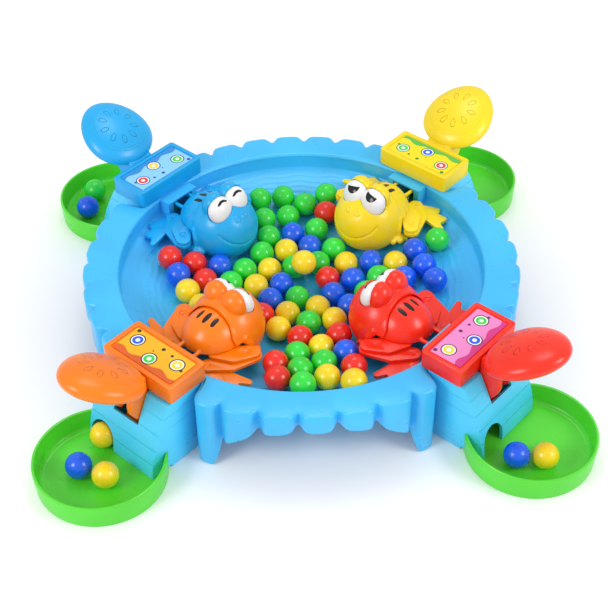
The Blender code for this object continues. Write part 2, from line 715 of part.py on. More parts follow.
def build_lever():
    """Paddle, arms, hub with trunnions, blade and cross pin in one moulding."""
    axis = (LEVER_AXIS_RADIUS, LEVER_AXIS_HEIGHT)
    shape = bmesh.new()
    bmesh.ops.create_uvsphere(shape, u_segments=PADDLE_SEGMENTS, v_segments=PADDLE_RINGS, radius=1)
    for vert in shape.verts:
        x, y, z = vert.co
        depth = PADDLE_CROWN if z > 0 else PADDLE_KEEL
        width = PADDLE_HALF_WIDTH * (1 - PADDLE_EGG_SHARE * x)
        vert.co = (x * PADDLE_HALF_LENGTH, y * width, z * depth)
    tilt = Matrix.Rotation(-math.radians(PADDLE_TILT_DEGREES), 4, "Y")
    place = Matrix.Translation((PADDLE_CENTRE[0], 0, PADDLE_CENTRE[1]))
    bmesh.ops.transform(shape, verts=shape.verts, matrix=place @ tilt)
    lever = new_object("lever", shape)
    behind = PLAQUE_BACK_RADIUS + PLAQUE_LENGTH + 2 * GAP
    low, high = ARM_SWEEP_DEGREES
    paddle_end = PADDLE_CENTRE[1] - PADDLE_HALF_LENGTH * math.sin(math.radians(PADDLE_TILT_DEGREES))
    arm = [(axis[0] - BLEND, axis[1] - HUB_RADIUS / 2)]
    arm += arc(axis, ARM_SWEEP_RADIUS, low, high, ARM_SWEEP_STEPS)
    arm += [PADDLE_CENTRE, (behind, paddle_end), (behind, RIM_HEIGHT), (axis[0] - BLEND, axis[1] + HUB_RADIUS / 2)]
    web = [(behind, axis[1]), (behind + ARM_WEB, axis[1]), (behind + 2 * ARM_WEB, paddle_end + ARM_WEB)]
    web += [(behind, paddle_end)]
    tip_x, tip_z = BLADE_TIP
    lean = math.radians(BLADE_LEAN_DEGREES)
    across = (math.cos(lean) * BLADE_THICKNESS / 2, math.sin(lean) * BLADE_THICKNESS / 2)
    blade = [(axis[0] - across[0], axis[1] - across[1]), (tip_x - across[0], tip_z - across[1])]
    blade += arc(BLADE_TIP, BLADE_THICKNESS / 2 + BLEND, 180 + BLADE_LEAN_DEGREES, 360 + BLADE_LEAN_DEGREES, 4)[1:-1]
    blade += [(tip_x + across[0], tip_z + across[1]), (axis[0] + across[0], axis[1] + across[1])]
    rib_outer = HUB_HALF_WIDTH + 2 * GAP + BEARING_WALL
    spring_end = rib_outer + (SPRING_TURNS + 1) * SPRING_PITCH
    lug_top = axis[1] + TRUNNION_RADIUS
    lug_face = axis[0] + SPRING_RADIUS - SPRING_WIRE_RADIUS - GAP
    return join(
        lever,
        rod("hub", (axis[0], -HUB_HALF_WIDTH, axis[1]), (axis[0], HUB_HALF_WIDTH, axis[1]), HUB_RADIUS, 12),
        side_prism("arm", arm, ARM_INNER_HALF_WIDTH, HUB_HALF_WIDTH - BLEND / 2),
        side_prism("arm", arm, BLEND / 2 - HUB_HALF_WIDTH, -ARM_INNER_HALF_WIDTH),
        side_prism("web", web, -ARM_INNER_HALF_WIDTH - BLEND, ARM_INNER_HALF_WIDTH + BLEND),
        rod("trunnion", (axis[0], -rib_outer, axis[1]), (axis[0], spring_end, axis[1]), TRUNNION_RADIUS, PIN_STEPS),
        box("lug", (axis[0] - LUG_WIDTH / 2, spring_end - BLEND, axis[1] - TRUNNION_RADIUS),
            (lug_face, spring_end + LUG_WIDTH, lug_top)),
        side_prism("blade", blade, -BLADE_HALF_WIDTH, BLADE_HALF_WIDTH),
        rod("pin", (tip_x, -PIN_HALF_LENGTH, tip_z), (tip_x, PIN_HALF_LENGTH, tip_z), PIN_RADIUS, PIN_STEPS),
    )


# Return spring

def spring_points():
    """Route of the spring's wire: a straight tail, the turns and a second straight tail."""
    start = HUB_HALF_WIDTH + 2 * GAP + BEARING_WALL + 2 * SPRING_WIRE_RADIUS
    points = []
    total = SPRING_TURNS * SPRING_POINTS_PER_TURN
    for step in range(total + 1):
        turn = 2 * math.pi * step / SPRING_POINTS_PER_TURN
        x = LEVER_AXIS_RADIUS + SPRING_RADIUS * math.cos(turn)
        z = LEVER_AXIS_HEIGHT + SPRING_RADIUS * math.sin(turn)
        points.append(Vector((x, start + SPRING_PITCH * step / SPRING_POINTS_PER_TURN, z)))
    first = points[0] + Vector((SPRING_REACH[0], 0, SPRING_REACH[1]))
    last = points[-1] + Vector((0, SPRING_TAIL, 0))
    return [first] + points + [last]


def build_spring():
    """Torsion spring as one unbroken wire."""
    points = spring_points()
    curve = bpy.data.curves.new("spring", "CURVE")
    curve.dimensions = "3D"
    curve.bevel_depth = SPRING_WIRE_RADIUS
    curve.bevel_resolution = 1
    curve.use_fill_caps = True
    line = curve.splines.new("POLY")
    line.points.add(len(points) - 1)
    for place, point in zip(line.points, points):
        place.co = (*point, 1)
    guide = bpy.data.objects.new("spring_wire", curve)
    bpy.context.collection.objects.link(guide)
    bpy.context.view_layer.update()
    result = guide.evaluated_get(bpy.context.evaluated_depsgraph_get())
    shape = bmesh.new()
    shape.from_mesh(bpy.data.meshes.new_from_object(result))
    bmesh.ops.remove_doubles(shape, verts=shape.verts, dist=WELD)
    bpy.data.objects.remove(guide)
    spring = new_object("spring", shape)
    apart = [
        (points[a] - points[b]).length
        for a in range(len(points))
        for b in range(a + SPRING_POINTS_PER_TURN // 2, len(points))
    ]
    print(f"spring: least gap between turns {(min(apart) - 2 * SPRING_WIRE_RADIUS) * 1000:.2f} mm")
    return spring


# Frog

def build_body():
    """Hollow dome over the chute, with hip pins, neck pins and forked tail rails."""
    centre = (BODY_AXIS_RADIUS, 0, BODY_AXIS_HEIGHT)
    size = Vector((BODY_DOME_RADIUS, BODY_HALF_WIDTH, BODY_DOME_RADIUS))
    wall = Vector((SHELL_WALL, SHELL_WALL, SHELL_WALL))
    body = ball("body", centre, size, BODY_SEGMENTS, BODY_RINGS, "Y")
    hollow = ball("hollow", centre, size - wall, HOLLOW_SEGMENTS + 2, HOLLOW_RINGS, "Y")
    far = BODY_AXIS_RADIUS + BODY_DOME_RADIUS + OVERRUN
    near = BODY_AXIS_RADIUS - BODY_DOME_RADIUS - OVERRUN
    side = BODY_HALF_WIDTH + OVERRUN
    low = BODY_AXIS_HEIGHT - BODY_DOME_RADIUS - OVERRUN
    high = BODY_AXIS_HEIGHT + BODY_DOME_RADIUS + OVERRUN
    below = box("below", (near, -side, low), (far, side, BODY_RIM_HEIGHT))
    front = box("front", (near, -side, low), (BODY_FRONT_RADIUS, side, high))
    cut(body, hollow, below, front)
    rail_bottom = RAIL_TOP - RAIL_DEPTH
    tip_x = BLADE_TIP[0]
    knee_x, knee_z = RAIL_KNEE
    fork_back = tip_x - FORK_HALF_LENGTH
    fork_front = tip_x + FORK_HALF_LENGTH
    slot_half = PIN_RADIUS + FORK_PLAY
    slot_top = BLADE_TIP[1] + PIN_RADIUS + 2 * FORK_PLAY
    rail = [
        (RAIL_ROOT_RADIUS, rail_bottom), (RAIL_BEND_RADIUS, rail_bottom), (knee_x - RAIL_DEPTH, knee_z - RAIL_DEPTH),
        (fork_back, FORK_TOP - RAIL_DEPTH), (fork_back, FORK_BOTTOM), (tip_x - slot_half, FORK_BOTTOM),
        (tip_x - slot_half, slot_top), (tip_x + slot_half, slot_top), (tip_x + slot_half, FORK_BOTTOM),
        (fork_front, FORK_BOTTOM), (fork_front, FORK_TOP), (fork_back + RAIL_DEPTH, FORK_TOP), (knee_x, knee_z),
        (RAIL_BEND_RADIUS + RAIL_DEPTH / 2, RAIL_TOP), (RAIL_ROOT_RADIUS, RAIL_TOP),
    ]
    pins = []
    for turn in SIDES.values():
        x, y = HIP[0], turn * HIP[1]
        inner_dome = BODY_AXIS_HEIGHT + (size.z - SHELL_WALL / 2) * math.sqrt(
            1 - ((x - BODY_AXIS_RADIUS) / size.x) ** 2 - (y / size.y) ** 2
        )
        boss = rod("hip_boss", (x, y, BODY_RIM_HEIGHT), (x, y, inner_dome), HIP_BOSS_RADIUS, LEG_PIN_STEPS)
        pins.append(boss)
        pins.append(rod("hip_pin", (x, y, THIGH_HEIGHT + GAP), (x, y, inner_dome), LEG_PIN_RADIUS, LEG_PIN_STEPS))
        neck_skin = neck_half_width() + COLLAR_WALL - NECK_PIN_SKIN - GAP
        neck_inside = neck_half_width() - SHELL_WALL - COLLAR_GAP
        pins.append(rod(
            "neck_pin", (NECK_RADIUS, turn * neck_inside, NECK_HEIGHT), (NECK_RADIUS, turn * neck_skin, NECK_HEIGHT),
            NECK_PIN_RADIUS, LEG_PIN_STEPS,
        ))
    rails = [
        side_prism("rail", rail, RAIL_INNER, RAIL_OUTER),
        side_prism("rail", rail, -RAIL_OUTER, -RAIL_INNER),
    ]
    return join(body, *rails, *pins)


def neck_half_width():
    """Half-width of the collar's inside at the neck pins."""
    rise = (NECK_HEIGHT - BODY_AXIS_HEIGHT) / (BODY_DOME_RADIUS + COLLAR_GAP)
    return (BODY_HALF_WIDTH + COLLAR_GAP) * math.sqrt(1 - rise ** 2)


def eye_ball(name, side, growth):
    """One eye, leaning back, grown by a gap where it is used as a cutter."""
    size = Vector(EYE_SIZE) + Vector((growth, growth, growth))
    eye = ball(name, (0, 0, 0), size, EYE_SEGMENTS, EYE_RINGS)
    lean = Matrix.Rotation(math.radians(EYE_LEAN_DEGREES), 4, "Y")
    place = Matrix.Translation((EYE_CENTRE[0], side * EYE_CENTRE[1], EYE_CENTRE[2]))
    eye.data.transform(place @ lean)
    return eye


def build_eyes():
    """Both eyes in one moulding."""
    return join(eye_ball("eyes", 1, 0), eye_ball("eye", -1, 0))


def build_head():
    """Hollow head, open below, with eye domes and a collar that laps over the body."""
    centre = (HEAD_CENTRE_RADIUS, 0, HEAD_CENTRE_HEIGHT)
    size = Vector((HEAD_HALF_LENGTH, HEAD_HALF_WIDTH, HEAD_HALF_HEIGHT))
    wall = Vector((HEAD_WALL, HEAD_WALL, HEAD_WALL))
    body_centre = (BODY_AXIS_RADIUS, 0, BODY_AXIS_HEIGHT)
    lap = Vector((BODY_DOME_RADIUS + COLLAR_GAP, BODY_HALF_WIDTH + COLLAR_GAP, BODY_DOME_RADIUS + COLLAR_GAP))
    collar_wall = Vector((COLLAR_WALL, COLLAR_WALL, COLLAR_WALL))
    head = ball("head", centre, size, HEAD_SEGMENTS, HEAD_RINGS)
    join(head, ball("collar", body_centre, lap + collar_wall, BODY_SEGMENTS, BODY_RINGS, "Y"))
    for side in SIDES.values():
        dome_centre = (EYE_DOME_CENTRE[0], side * EYE_DOME_CENTRE[1], EYE_DOME_CENTRE[2])
        join(head, ball("eye_dome", dome_centre, EYE_DOME_SIZE, EYE_SEGMENTS, EYE_RINGS))
    cut(head, ball("hollow", centre, size - wall, HOLLOW_SEGMENTS, HOLLOW_RINGS))
    cut(head, ball("lap", body_centre, lap, BODY_SEGMENTS, BODY_RINGS, "Y"))
    cut(head, eye_ball("socket", 1, EYE_GAP), eye_ball("socket", -1, EYE_GAP))
    wide = HEAD_HALF_WIDTH + OVERRUN
    far = BODY_AXIS_RADIUS + BODY_DOME_RADIUS + 2 * OVERRUN
    low = BODY_AXIS_HEIGHT - BODY_DOME_RADIUS - COLLAR_GAP - COLLAR_WALL - OVERRUN
    back = [(HEAD_BACK_EDGE[0][0], low), (far, low), (far, HEAD_BACK_EDGE[-1][1])] + list(reversed(HEAD_BACK_EDGE))
    near = HEAD_CENTRE_RADIUS - HEAD_HALF_LENGTH - OVERRUN
    cut(head, side_prism("back", back, -wide, wide))
    cut(head, box("below", (near, -wide, low), (far, wide, CHIN_HEIGHT)))
    socket_end = neck_half_width() + COLLAR_WALL - NECK_PIN_SKIN
    for side in SIDES.values():
        inside = neck_half_width() - SHELL_WALL
        cut(head, rod(
            "neck_socket", (NECK_RADIUS, side * inside, NECK_HEIGHT), (NECK_RADIUS, side * socket_end, NECK_HEIGHT),
            NECK_PIN_RADIUS + GAP, LEG_PIN_STEPS * 2,
        ))
    return head


def build_thigh(side):
    """Top leaf of a leg, from the hip pin to the knee, with the knee's short pin."""
    circles = [(THIGH_END, THIGH_END_RADIUS), (THIGH_MIDDLE, THIGH_MIDDLE_RADIUS), (THIGH_ROOT, THIGH_ROOT_RADIUS)]
    circles = [((x, side * y), radius) for (x, y), radius in circles]
    thigh = leaf("thigh", circles, THIGH_HEIGHT, THIGH_HEIGHT + LEAF_THICKNESS)
    x, y = KNEE[0], side * KNEE[1]
    pin_end = SHIN_HEIGHT + GAP
    join(thigh, rod("knee_pin", (x, y, pin_end), (x, y, THIGH_HEIGHT + BLEND), KNEE_PIN_RADIUS, LEG_PIN_STEPS))
    return cut(thigh, pin_hole(HIP, side, THIGH_HEIGHT, LEG_PIN_RADIUS + GAP))


def pin_hole(place, side, height, radius):
    """Cutter for a hole through a leaf."""
    x, y = place[0], side * place[1]
    top = height + LEAF_THICKNESS + OVERRUN
    return rod("pin_hole", (x, y, height - OVERRUN), (x, y, top), radius, LEAF_STEPS)


def build_lower_leg(side):
    """Shin leaf from the knee to the ankle pin, in one moulding with the webbed foot below it."""
    circles = [(ANKLE, ANKLE_LEAF_RADIUS), (SHIN_MIDDLE, SHIN_MIDDLE_RADIUS), (SHIN_END, SHIN_END_RADIUS)]
    circles = [((x, side * y), radius) for (x, y), radius in circles]
    shin = leaf("lower_leg", circles, SHIN_HEIGHT, SHIN_HEIGHT + LEAF_THICKNESS)
    inner_toe, middle_toe, outer_toe = TOES
    outline = arc(ANKLE, ANKLE_LEAF_RADIUS, 150, 330, TOE_STEPS + 1)
    outline += arc(outer_toe, TOE_RADIUS, -30, 90, TOE_STEPS)
    outline.append(TOE_WEBS[1])
    outline += arc(middle_toe, TOE_RADIUS, -20, 110, TOE_STEPS)
    outline.append(TOE_WEBS[0])
    outline += arc(inner_toe, TOE_RADIUS, 10, 170, TOE_STEPS)
    foot = plate("foot", [(x, side * y) for x, y in outline], FOOT_HEIGHT, FOOT_HEIGHT + LEAF_THICKNESS)
    x, y = ANKLE[0], side * ANKLE[1]
    step_low = FOOT_HEIGHT + LEAF_THICKNESS / 2
    step_high = SHIN_HEIGHT + LEAF_THICKNESS / 2
    step = rod("step", (x, y, step_low), (x, y, step_high), HIP_BOSS_RADIUS + BLEND, LEAF_STEPS)
    join(shin, foot, step)
    ankle_hole = rod(
        "ankle_hole", (x, y, FOOT_HEIGHT - OVERRUN), (x, y, SHIN_HEIGHT + LEAF_THICKNESS + OVERRUN),
        LEG_PIN_RADIUS + GAP, LEAF_STEPS,
    )
    return cut(shin, ankle_hole, pin_hole(KNEE, side, SHIN_HEIGHT, KNEE_PIN_RADIUS + KNEE_PLAY))


# Marbles

def resting_height(place):
    """Height of a marble's centre on the dished floor, whose rings are joined by straight slopes."""
    shares = [0, *sorted(FLOOR_RING_SHARES), 1]
    share = place.length / BOWL_RADIUS
    outer = next(index for index, limit in enumerate(shares) if index and share <= limit)
    low, high = (floor_height(shares[index] * BOWL_RADIUS) for index in (outer - 1, outer))
    part_way = (share - shares[outer - 1]) / (shares[outer] - shares[outer - 1])
    slope = (high - low) / ((shares[outer] - shares[outer - 1]) * BOWL_RADIUS)
    return low + (high - low) * part_way + (MARBLE_RADIUS + GAP) * math.sqrt(1 + slope ** 2)


def marble_places():
    """Colours and centres of the marbles in the middle of the arena and in the trays."""
    places = []
    for colour, x, y in ARENA_MARBLE_SHARES:
        spot = Vector((x * BOWL_RADIUS, y * BOWL_RADIUS))
        places.append((colour, Vector((spot.x, spot.y, resting_height(spot)))))
    for station, colour, x, y in TRAY_MARBLES:
        turn = Matrix.Rotation(math.radians(STATION_DEGREES[station]), 3, "Z")
        places.append((colour, turn @ Vector((x, y, TRAY_FLOOR + MARBLE_RADIUS + GAP))))
    return places


# Colours and finish

COLOURS = {
    "arena": "#5FCFFF", "housing": "#82E1FF", "tray": "#4CC82F", "eyes": "#FFFFFF", "steel": "#C4C7CC",
    "yellow": "#FDDE23", "blue": "#2DBEF5", "orange": "#FF820F", "red": "#FF3214",
    "marble_red": "#F03223", "marble_blue": "#286EEB", "marble_green": "#4BDC5A", "marble_yellow": "#FADC2D",
}
PLASTIC_ROUGHNESS = 0.28
STEEL_ROUGHNESS = 0.35


def material(name):
    """Glossy plastic, or bright steel for the springs."""
    found = bpy.data.materials.get(name)
    if found:
        return found
    made = bpy.data.materials.new(name)
    made.use_nodes = True
    shader = made.node_tree.nodes["Principled BSDF"]
    code = COLOURS[name]
    channels = [int(code[start:start + 2], 16) / 255 for start in (1, 3, 5)]
    linear = [c / 12.92 if c < 0.04045 else ((c + 0.055) / 1.055) ** 2.4 for c in channels]
    shader.inputs["Base Color"].default_value = (*linear, 1)
    shader.inputs["Metallic"].default_value = 1 if name == "steel" else 0
    shader.inputs["Roughness"].default_value = STEEL_ROUGHNESS if name == "steel" else PLASTIC_ROUGHNESS
    return made


def finish(node, colour, origin=(0, 0, 0)):
    """Give a node its material, smooth round faces and its origin."""
    mesh = node.data
    mesh.transform(Matrix.Translation(-Vector(origin)))
    mesh.materials.clear()
    mesh.materials.append(material(colour))
    mesh.shade_smooth()
    mesh.set_sharp_from_angle(angle=math.radians(35))
    node.location = origin


def place_copies(name, pattern, colours, origin=(0, 0, 0)):
    """Copy a station's piece to the four stations, each copy turned by its station's empty."""
    for station in STATION_DEGREES:
        node = bpy.data.objects.new(f"{name}_{station}", pattern.data.copy())
        bpy.context.collection.objects.link(node)
        finish(node, colours[station], origin)
        node.parent = bpy.data.objects[f"station_{station}"]
    bpy.data.objects.remove(pattern)


# Assembly

def main():
    for leftover in list(bpy.data.objects):
        bpy.data.objects.remove(leftover)
    for station, degrees in STATION_DEGREES.items():
        empty = bpy.data.objects.new(f"station_{station}", None)
        empty.rotation_euler = (0, 0, math.radians(degrees))
        bpy.context.collection.objects.link(empty)
    frog_colours = {station: station for station in STATION_DEGREES}

    def same(colour):
        return {station: colour for station in STATION_DEGREES}

    finish(build_arena(), "arena")
    place_copies("housing", build_housing(), same("housing"))
    place_copies("tray", build_tray(), same("tray"))
    place_copies("plaque", build_plaque(), frog_colours)
    lever_axis = (LEVER_AXIS_RADIUS, 0, LEVER_AXIS_HEIGHT)
    place_copies("lever", lightened(build_lever(), LEVER_FACET_SHARE), frog_colours, lever_axis)
    body_axis = (BODY_AXIS_RADIUS, 0, BODY_AXIS_HEIGHT)
    place_copies("frog_body", lightened(build_body(), BODY_FACET_SHARE), frog_colours, body_axis)
    neck = (NECK_RADIUS, 0, NECK_HEIGHT)
    place_copies("frog_head", lightened(build_head(), HEAD_FACET_SHARE), frog_colours, neck)
    place_copies("frog_eyes", build_eyes(), same("eyes"), neck)
    for name, side in SIDES.items():
        ankle = (ANKLE[0], side * ANKLE[1], SHIN_HEIGHT)
        hip = (HIP[0], side * HIP[1], THIGH_HEIGHT)
        place_copies(f"lower_leg_{name}", build_lower_leg(side), frog_colours, ankle)
        place_copies(f"thigh_{name}", build_thigh(side), frog_colours, hip)
    place_copies("spring", build_spring(), same("steel"), lever_axis)
    for index, (colour, centre) in enumerate(marble_places(), 1):
        marble = ball(f"marble_{colour}_{index}", centre, (MARBLE_RADIUS,) * 3, MARBLE_SEGMENTS, MARBLE_RINGS)
        finish(marble, f"marble_{colour}", centre)
    counts = {node.name: len(node.data.polygons) for node in bpy.data.objects if node.type == "MESH"}
    print(f"{len(counts)} nodes, frog stroke {FROG_STROKE * 1000:.2f} mm")


main()
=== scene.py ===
# %% [markdown]
# A game for four players. Each has a lever outside a round arena of marbles. Pressing its egg-shaped
# paddle drives a frog over the floor on folding legs, and a marble that the frog covers rolls out
# under its tail into the player's tray. The solids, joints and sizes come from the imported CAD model.
# This lesson dresses them: it builds each moulding again with finer curves and soft edges, gives every
# material its own finish, and lights the whole like a product photograph.

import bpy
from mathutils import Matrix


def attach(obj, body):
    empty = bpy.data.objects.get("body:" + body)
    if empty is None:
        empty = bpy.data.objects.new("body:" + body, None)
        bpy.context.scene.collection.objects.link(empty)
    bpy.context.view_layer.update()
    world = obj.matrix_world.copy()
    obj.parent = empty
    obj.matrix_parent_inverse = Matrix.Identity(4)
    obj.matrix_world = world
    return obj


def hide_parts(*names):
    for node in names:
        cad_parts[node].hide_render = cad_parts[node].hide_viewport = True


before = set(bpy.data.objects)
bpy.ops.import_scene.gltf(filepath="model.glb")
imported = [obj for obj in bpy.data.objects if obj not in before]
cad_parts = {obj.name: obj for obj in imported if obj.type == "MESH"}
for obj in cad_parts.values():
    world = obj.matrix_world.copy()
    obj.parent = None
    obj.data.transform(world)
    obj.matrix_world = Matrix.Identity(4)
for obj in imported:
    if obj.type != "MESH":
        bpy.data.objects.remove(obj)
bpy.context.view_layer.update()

# %% Tools and stations
import math

import bmesh
import bpy
from mathutils import Matrix, Vector

STATION_DEGREES = {"yellow": 45, "blue": 135, "orange": 225, "red": 315}
# The frogs face the middle, so a frog's left is the clockwise side
SIDES = {"left": -1, "right": 1}
GAP = 0.0003
OVERRUN = 0.002
SHELL_WALL = 0.002
BLEND = 0.0006
LEAST_MITRE = 0.6
LIMB_STEPS = 16
print("stations:", ", ".join(STATION_DEGREES))

# %% [markdown]
# Most mouldings of the game are easy to draw in a station frame, where X points out from the middle of
# the arena, Y runs across the station and Z is up. Outlines are swept into solids, turned profiles make
# the round ones, and Booleans join and cut them. The helpers stay small, so that each piece below
# reads as a list of its own forms.

# %% Points
def polar(radius, degrees):
    """Point of the plane at a radius and an angle."""
    turn = math.radians(degrees)
    return radius * math.cos(turn), radius * math.sin(turn)


def arc(centre, radius, first, last, steps):
    """Points along an arc, both ends included."""
    points = []
    for step in range(steps + 1):
        x, z = polar(radius, first + (last - first) * step / steps)
        points.append((centre[0] + x, centre[1] + z))
    return points


def inset(outline, distance):
    """Outline moved inwards by a distance, for points that run counterclockwise."""
    moved = []
    for index, point in enumerate(outline):
        here = Vector(point)
        before = (here - Vector(outline[index - 1])).normalized()
        after = (Vector(outline[(index + 1) % len(outline)]) - here).normalized()
        side = Vector((-before.y - after.y, before.x + after.x)).normalized()
        stretch = max(side.dot(Vector((-before.y, before.x))), LEAST_MITRE)
        moved.append(tuple(here + side * distance / stretch))
    return moved


def beside(point, side):
    """Point of the station frame, mirrored to one side of its middle line."""
    return Vector((point[0], side * point[1], point[2]))


# %% Solids
def new_object(name, shape):
    """Object made from a bmesh, with its faces turned outwards."""
    bmesh.ops.recalc_face_normals(shape, faces=shape.faces)
    mesh = bpy.data.meshes.new(name)
    shape.to_mesh(mesh)
    shape.free()
    made = bpy.data.objects.new(name, mesh)
    bpy.context.collection.objects.link(made)
    return made


def extruded(name, corners, travel):
    """Solid swept by a flat outline along a vector."""
    shape = bmesh.new()
    face = shape.faces.new([shape.verts.new(corner) for corner in corners])
    grown = bmesh.ops.extrude_face_region(shape, geom=[face])
    ends = [item for item in grown["geom"] if isinstance(item, bmesh.types.BMVert)]
    bmesh.ops.translate(shape, verts=ends, vec=travel)
    return new_object(name, shape)


def side_prism(name, outline, low, high):
    """Outline in radius and height, extruded across the station from low to high."""
    return extruded(name, [(x, low, z) for x, z in outline], (0, high - low, 0))


def side_pair(name, outline, inner, outer):
    """The same outline on both sides of the station's middle line."""
    return [side_prism(name, outline, inner, outer), side_prism(name, outline, -outer, -inner)]


def plate(name, outline, low, high):
    """Outline seen from above, extruded upwards."""
    return extruded(name, [(x, y, low) for x, y in outline], (0, 0, high - low))


def front_prism(name, outline, low, high):
    """Outline across the station and in height, extruded outwards."""
    return extruded(name, [(low, y, z) for y, z in outline], (high - low, 0, 0))


def box(name, first, last):
    """Block between two opposite corners."""
    outline = [(first[0], first[1]), (last[0], first[1]), (last[0], last[1]), (first[0], last[1])]
    return plate(name, outline, first[2], last[2])


def lofted(name, loops):
    """Closed ring whose cross-section runs through the loops, each with as many points."""
    shape = bmesh.new()
    rings = [[shape.verts.new(point) for point in loop] for loop in loops]
    count = len(loops[0])
    for ring, following in zip(rings, rings[1:] + rings[:1]):
        for index in range(count):
            after = (index + 1) % count
            shape.faces.new((ring[index], ring[after], following[after], following[index]))
    return new_object(name, shape)


def turned(name, profile, steps):
    """Solid of revolution about Z from points (radius, height), whose ends lie on the axis."""
    shape = bmesh.new()
    rings = []
    for radius, height in profile:
        count = steps if radius else 1
        ring = []
        for step in range(count):
            x, y = polar(radius, 360 * step / steps)
            ring.append(shape.verts.new((x, y, height)))
        rings.append(ring)
    for ring, following in zip(rings, rings[1:]):
        for step in range(steps):
            after = (step + 1) % steps
            corners = [ring[step % len(ring)], ring[after % len(ring)]]
            corners += [following[after % len(following)], following[step % len(following)]]
            unlike = list(dict.fromkeys(corners))
            if len(unlike) > 2:
                shape.faces.new(unlike)
    return new_object(name, shape)


# %% Round solids
def ball(name, centre, size, segments, rings, poles="Z"):
    """Ellipsoid with its poles up or across the station."""
    shape = bmesh.new()
    bmesh.ops.create_uvsphere(shape, u_segments=segments, v_segments=rings, radius=1)
    if poles == "Y":
        bmesh.ops.rotate(shape, verts=shape.verts, matrix=Matrix.Rotation(math.pi / 2, 3, "X"))
    bmesh.ops.scale(shape, verts=shape.verts, vec=size)
    bmesh.ops.translate(shape, verts=shape.verts, vec=centre)
    return new_object(name, shape)


def rod(name, start, end, radius, steps):
    """Round bar between two points."""
    first, last = Vector(start), Vector(end)
    shape = bmesh.new()
    bmesh.ops.create_cone(
        shape, cap_ends=True, segments=steps, radius1=radius, radius2=radius, depth=(last - first).length
    )
    turn = (last - first).to_track_quat("Z", "Y").to_matrix()
    bmesh.ops.rotate(shape, verts=shape.verts, matrix=turn)
    bmesh.ops.translate(shape, verts=shape.verts, vec=(first + last) / 2)
    return new_object(name, shape)


def crossbar(name, spot, low, high, radius, steps):
    """Round bar across the station, at a radius and a height."""
    return rod(name, (spot[0], low, spot[1]), (spot[0], high, spot[1]), radius, steps)


def upright(name, spot, low, high, radius, steps):
    """Round bar that stands on a spot seen from above."""
    return rod(name, (*spot, low), (*spot, high), radius, steps)


def hulled(shape):
    """Wrap a shape's points in their hull and drop those inside it."""
    hull = bmesh.ops.convex_hull(shape, input=shape.verts[:])
    inner = [item for item in hull["geom_interior"] if isinstance(item, bmesh.types.BMVert)]
    bmesh.ops.delete(shape, geom=inner, context="VERTS")


def limb(name, knots):
    """Chain of balls (centre, radius) joined by their common hulls, in one shell each."""
    solids = []
    for (first, start), (last, end) in zip(knots, knots[1:]):
        shape = bmesh.new()
        for centre, radius in ((first, start), (last, end)):
            ends = bmesh.ops.create_uvsphere(
                shape, u_segments=LIMB_STEPS, v_segments=LIMB_STEPS // 2, radius=radius
            )
            bmesh.ops.translate(shape, verts=ends["verts"], vec=centre)
        bmesh.ops.delete(shape, geom=shape.edges[:], context="EDGES_FACES")
        hulled(shape)
        solids.append(new_object(name, shape))
    return solids


# %% [markdown]
# A modifier is a recipe that stays live until it is settled. Each piece here is settled at once, so
# that its mesh can be turned to the four stations and ride on the bodies of the CAD model. The manifold
# solver is used for the Booleans because thin shells that meet at grazing angles leave open seams
# with the exact one.

# %% Joining, cutting and settling
SOLVER = "MANIFOLD"


def settled(piece):
    """Turn a piece's modifiers into plain mesh."""
    bpy.context.view_layer.update()
    result = piece.evaluated_get(bpy.context.evaluated_depsgraph_get())
    mesh = bpy.data.meshes.new_from_object(result)
    piece.modifiers.clear()
    piece.data = mesh
    return piece


def combined(base, tool, operation):
    """Join a tool to a base, or cut it out, and remove the tool."""
    modifier = base.modifiers.new(operation.lower(), "BOOLEAN")
    modifier.operation = operation
    modifier.solver = SOLVER
    modifier.object = tool
    settled(base)
    bpy.data.objects.remove(tool)
    return base


def join(base, *tools):
    """Union of solids."""
    for tool in tools:
        combined(base, tool, "UNION")
    return base


def cut(base, *tools):
    """Base without the tools."""
    for tool in tools:
        combined(base, tool, "DIFFERENCE")
    return base


# %% Soft edges
EDGE_ROUND = 0.0004
EASED_DEGREES = 35
SHARP_DEGREES = 30


def eased(piece, width=EDGE_ROUND, degrees=EASED_DEGREES):
    """Round a piece's edges, as a mould's do, after merging the faces that lie in one plane."""
    shape = bmesh.new()
    shape.from_mesh(piece.data)
    bmesh.ops.remove_doubles(shape, verts=shape.verts, dist=GAP / 10)
    bmesh.ops.dissolve_limit(shape, angle_limit=math.radians(1), verts=shape.verts, edges=shape.edges)
    shape.to_mesh(piece.data)
    shape.free()
    modifier = piece.modifiers.new("eased", "BEVEL")
    modifier.width = width
    modifier.segments = 2
    modifier.limit_method = "ANGLE"
    modifier.angle_limit = math.radians(degrees)
    return settled(piece)


def smooth(piece, degrees=SHARP_DEGREES):
    """Shade a piece smoothly except over sharp edges."""
    piece.data.shade_smooth()
    piece.data.set_sharp_from_angle(angle=math.radians(degrees))
    return piece


# %% [markdown]
# The frogs and levers are freely rounded mouldings, whose shells blend into each other with soft
# fillets. Voxel remeshing melts the joined solids into one even skin, a few rounds of smoothing soften
# its steps, and a light decimation takes out the faces that flat stretches don't need.

# %% One skin over joined solids
SKIN_VOXEL = 0.00045
SKIN_ROUNDS = 6
SKIN_SOFTENING = 0.5
SKIN_SHARE = 0.6


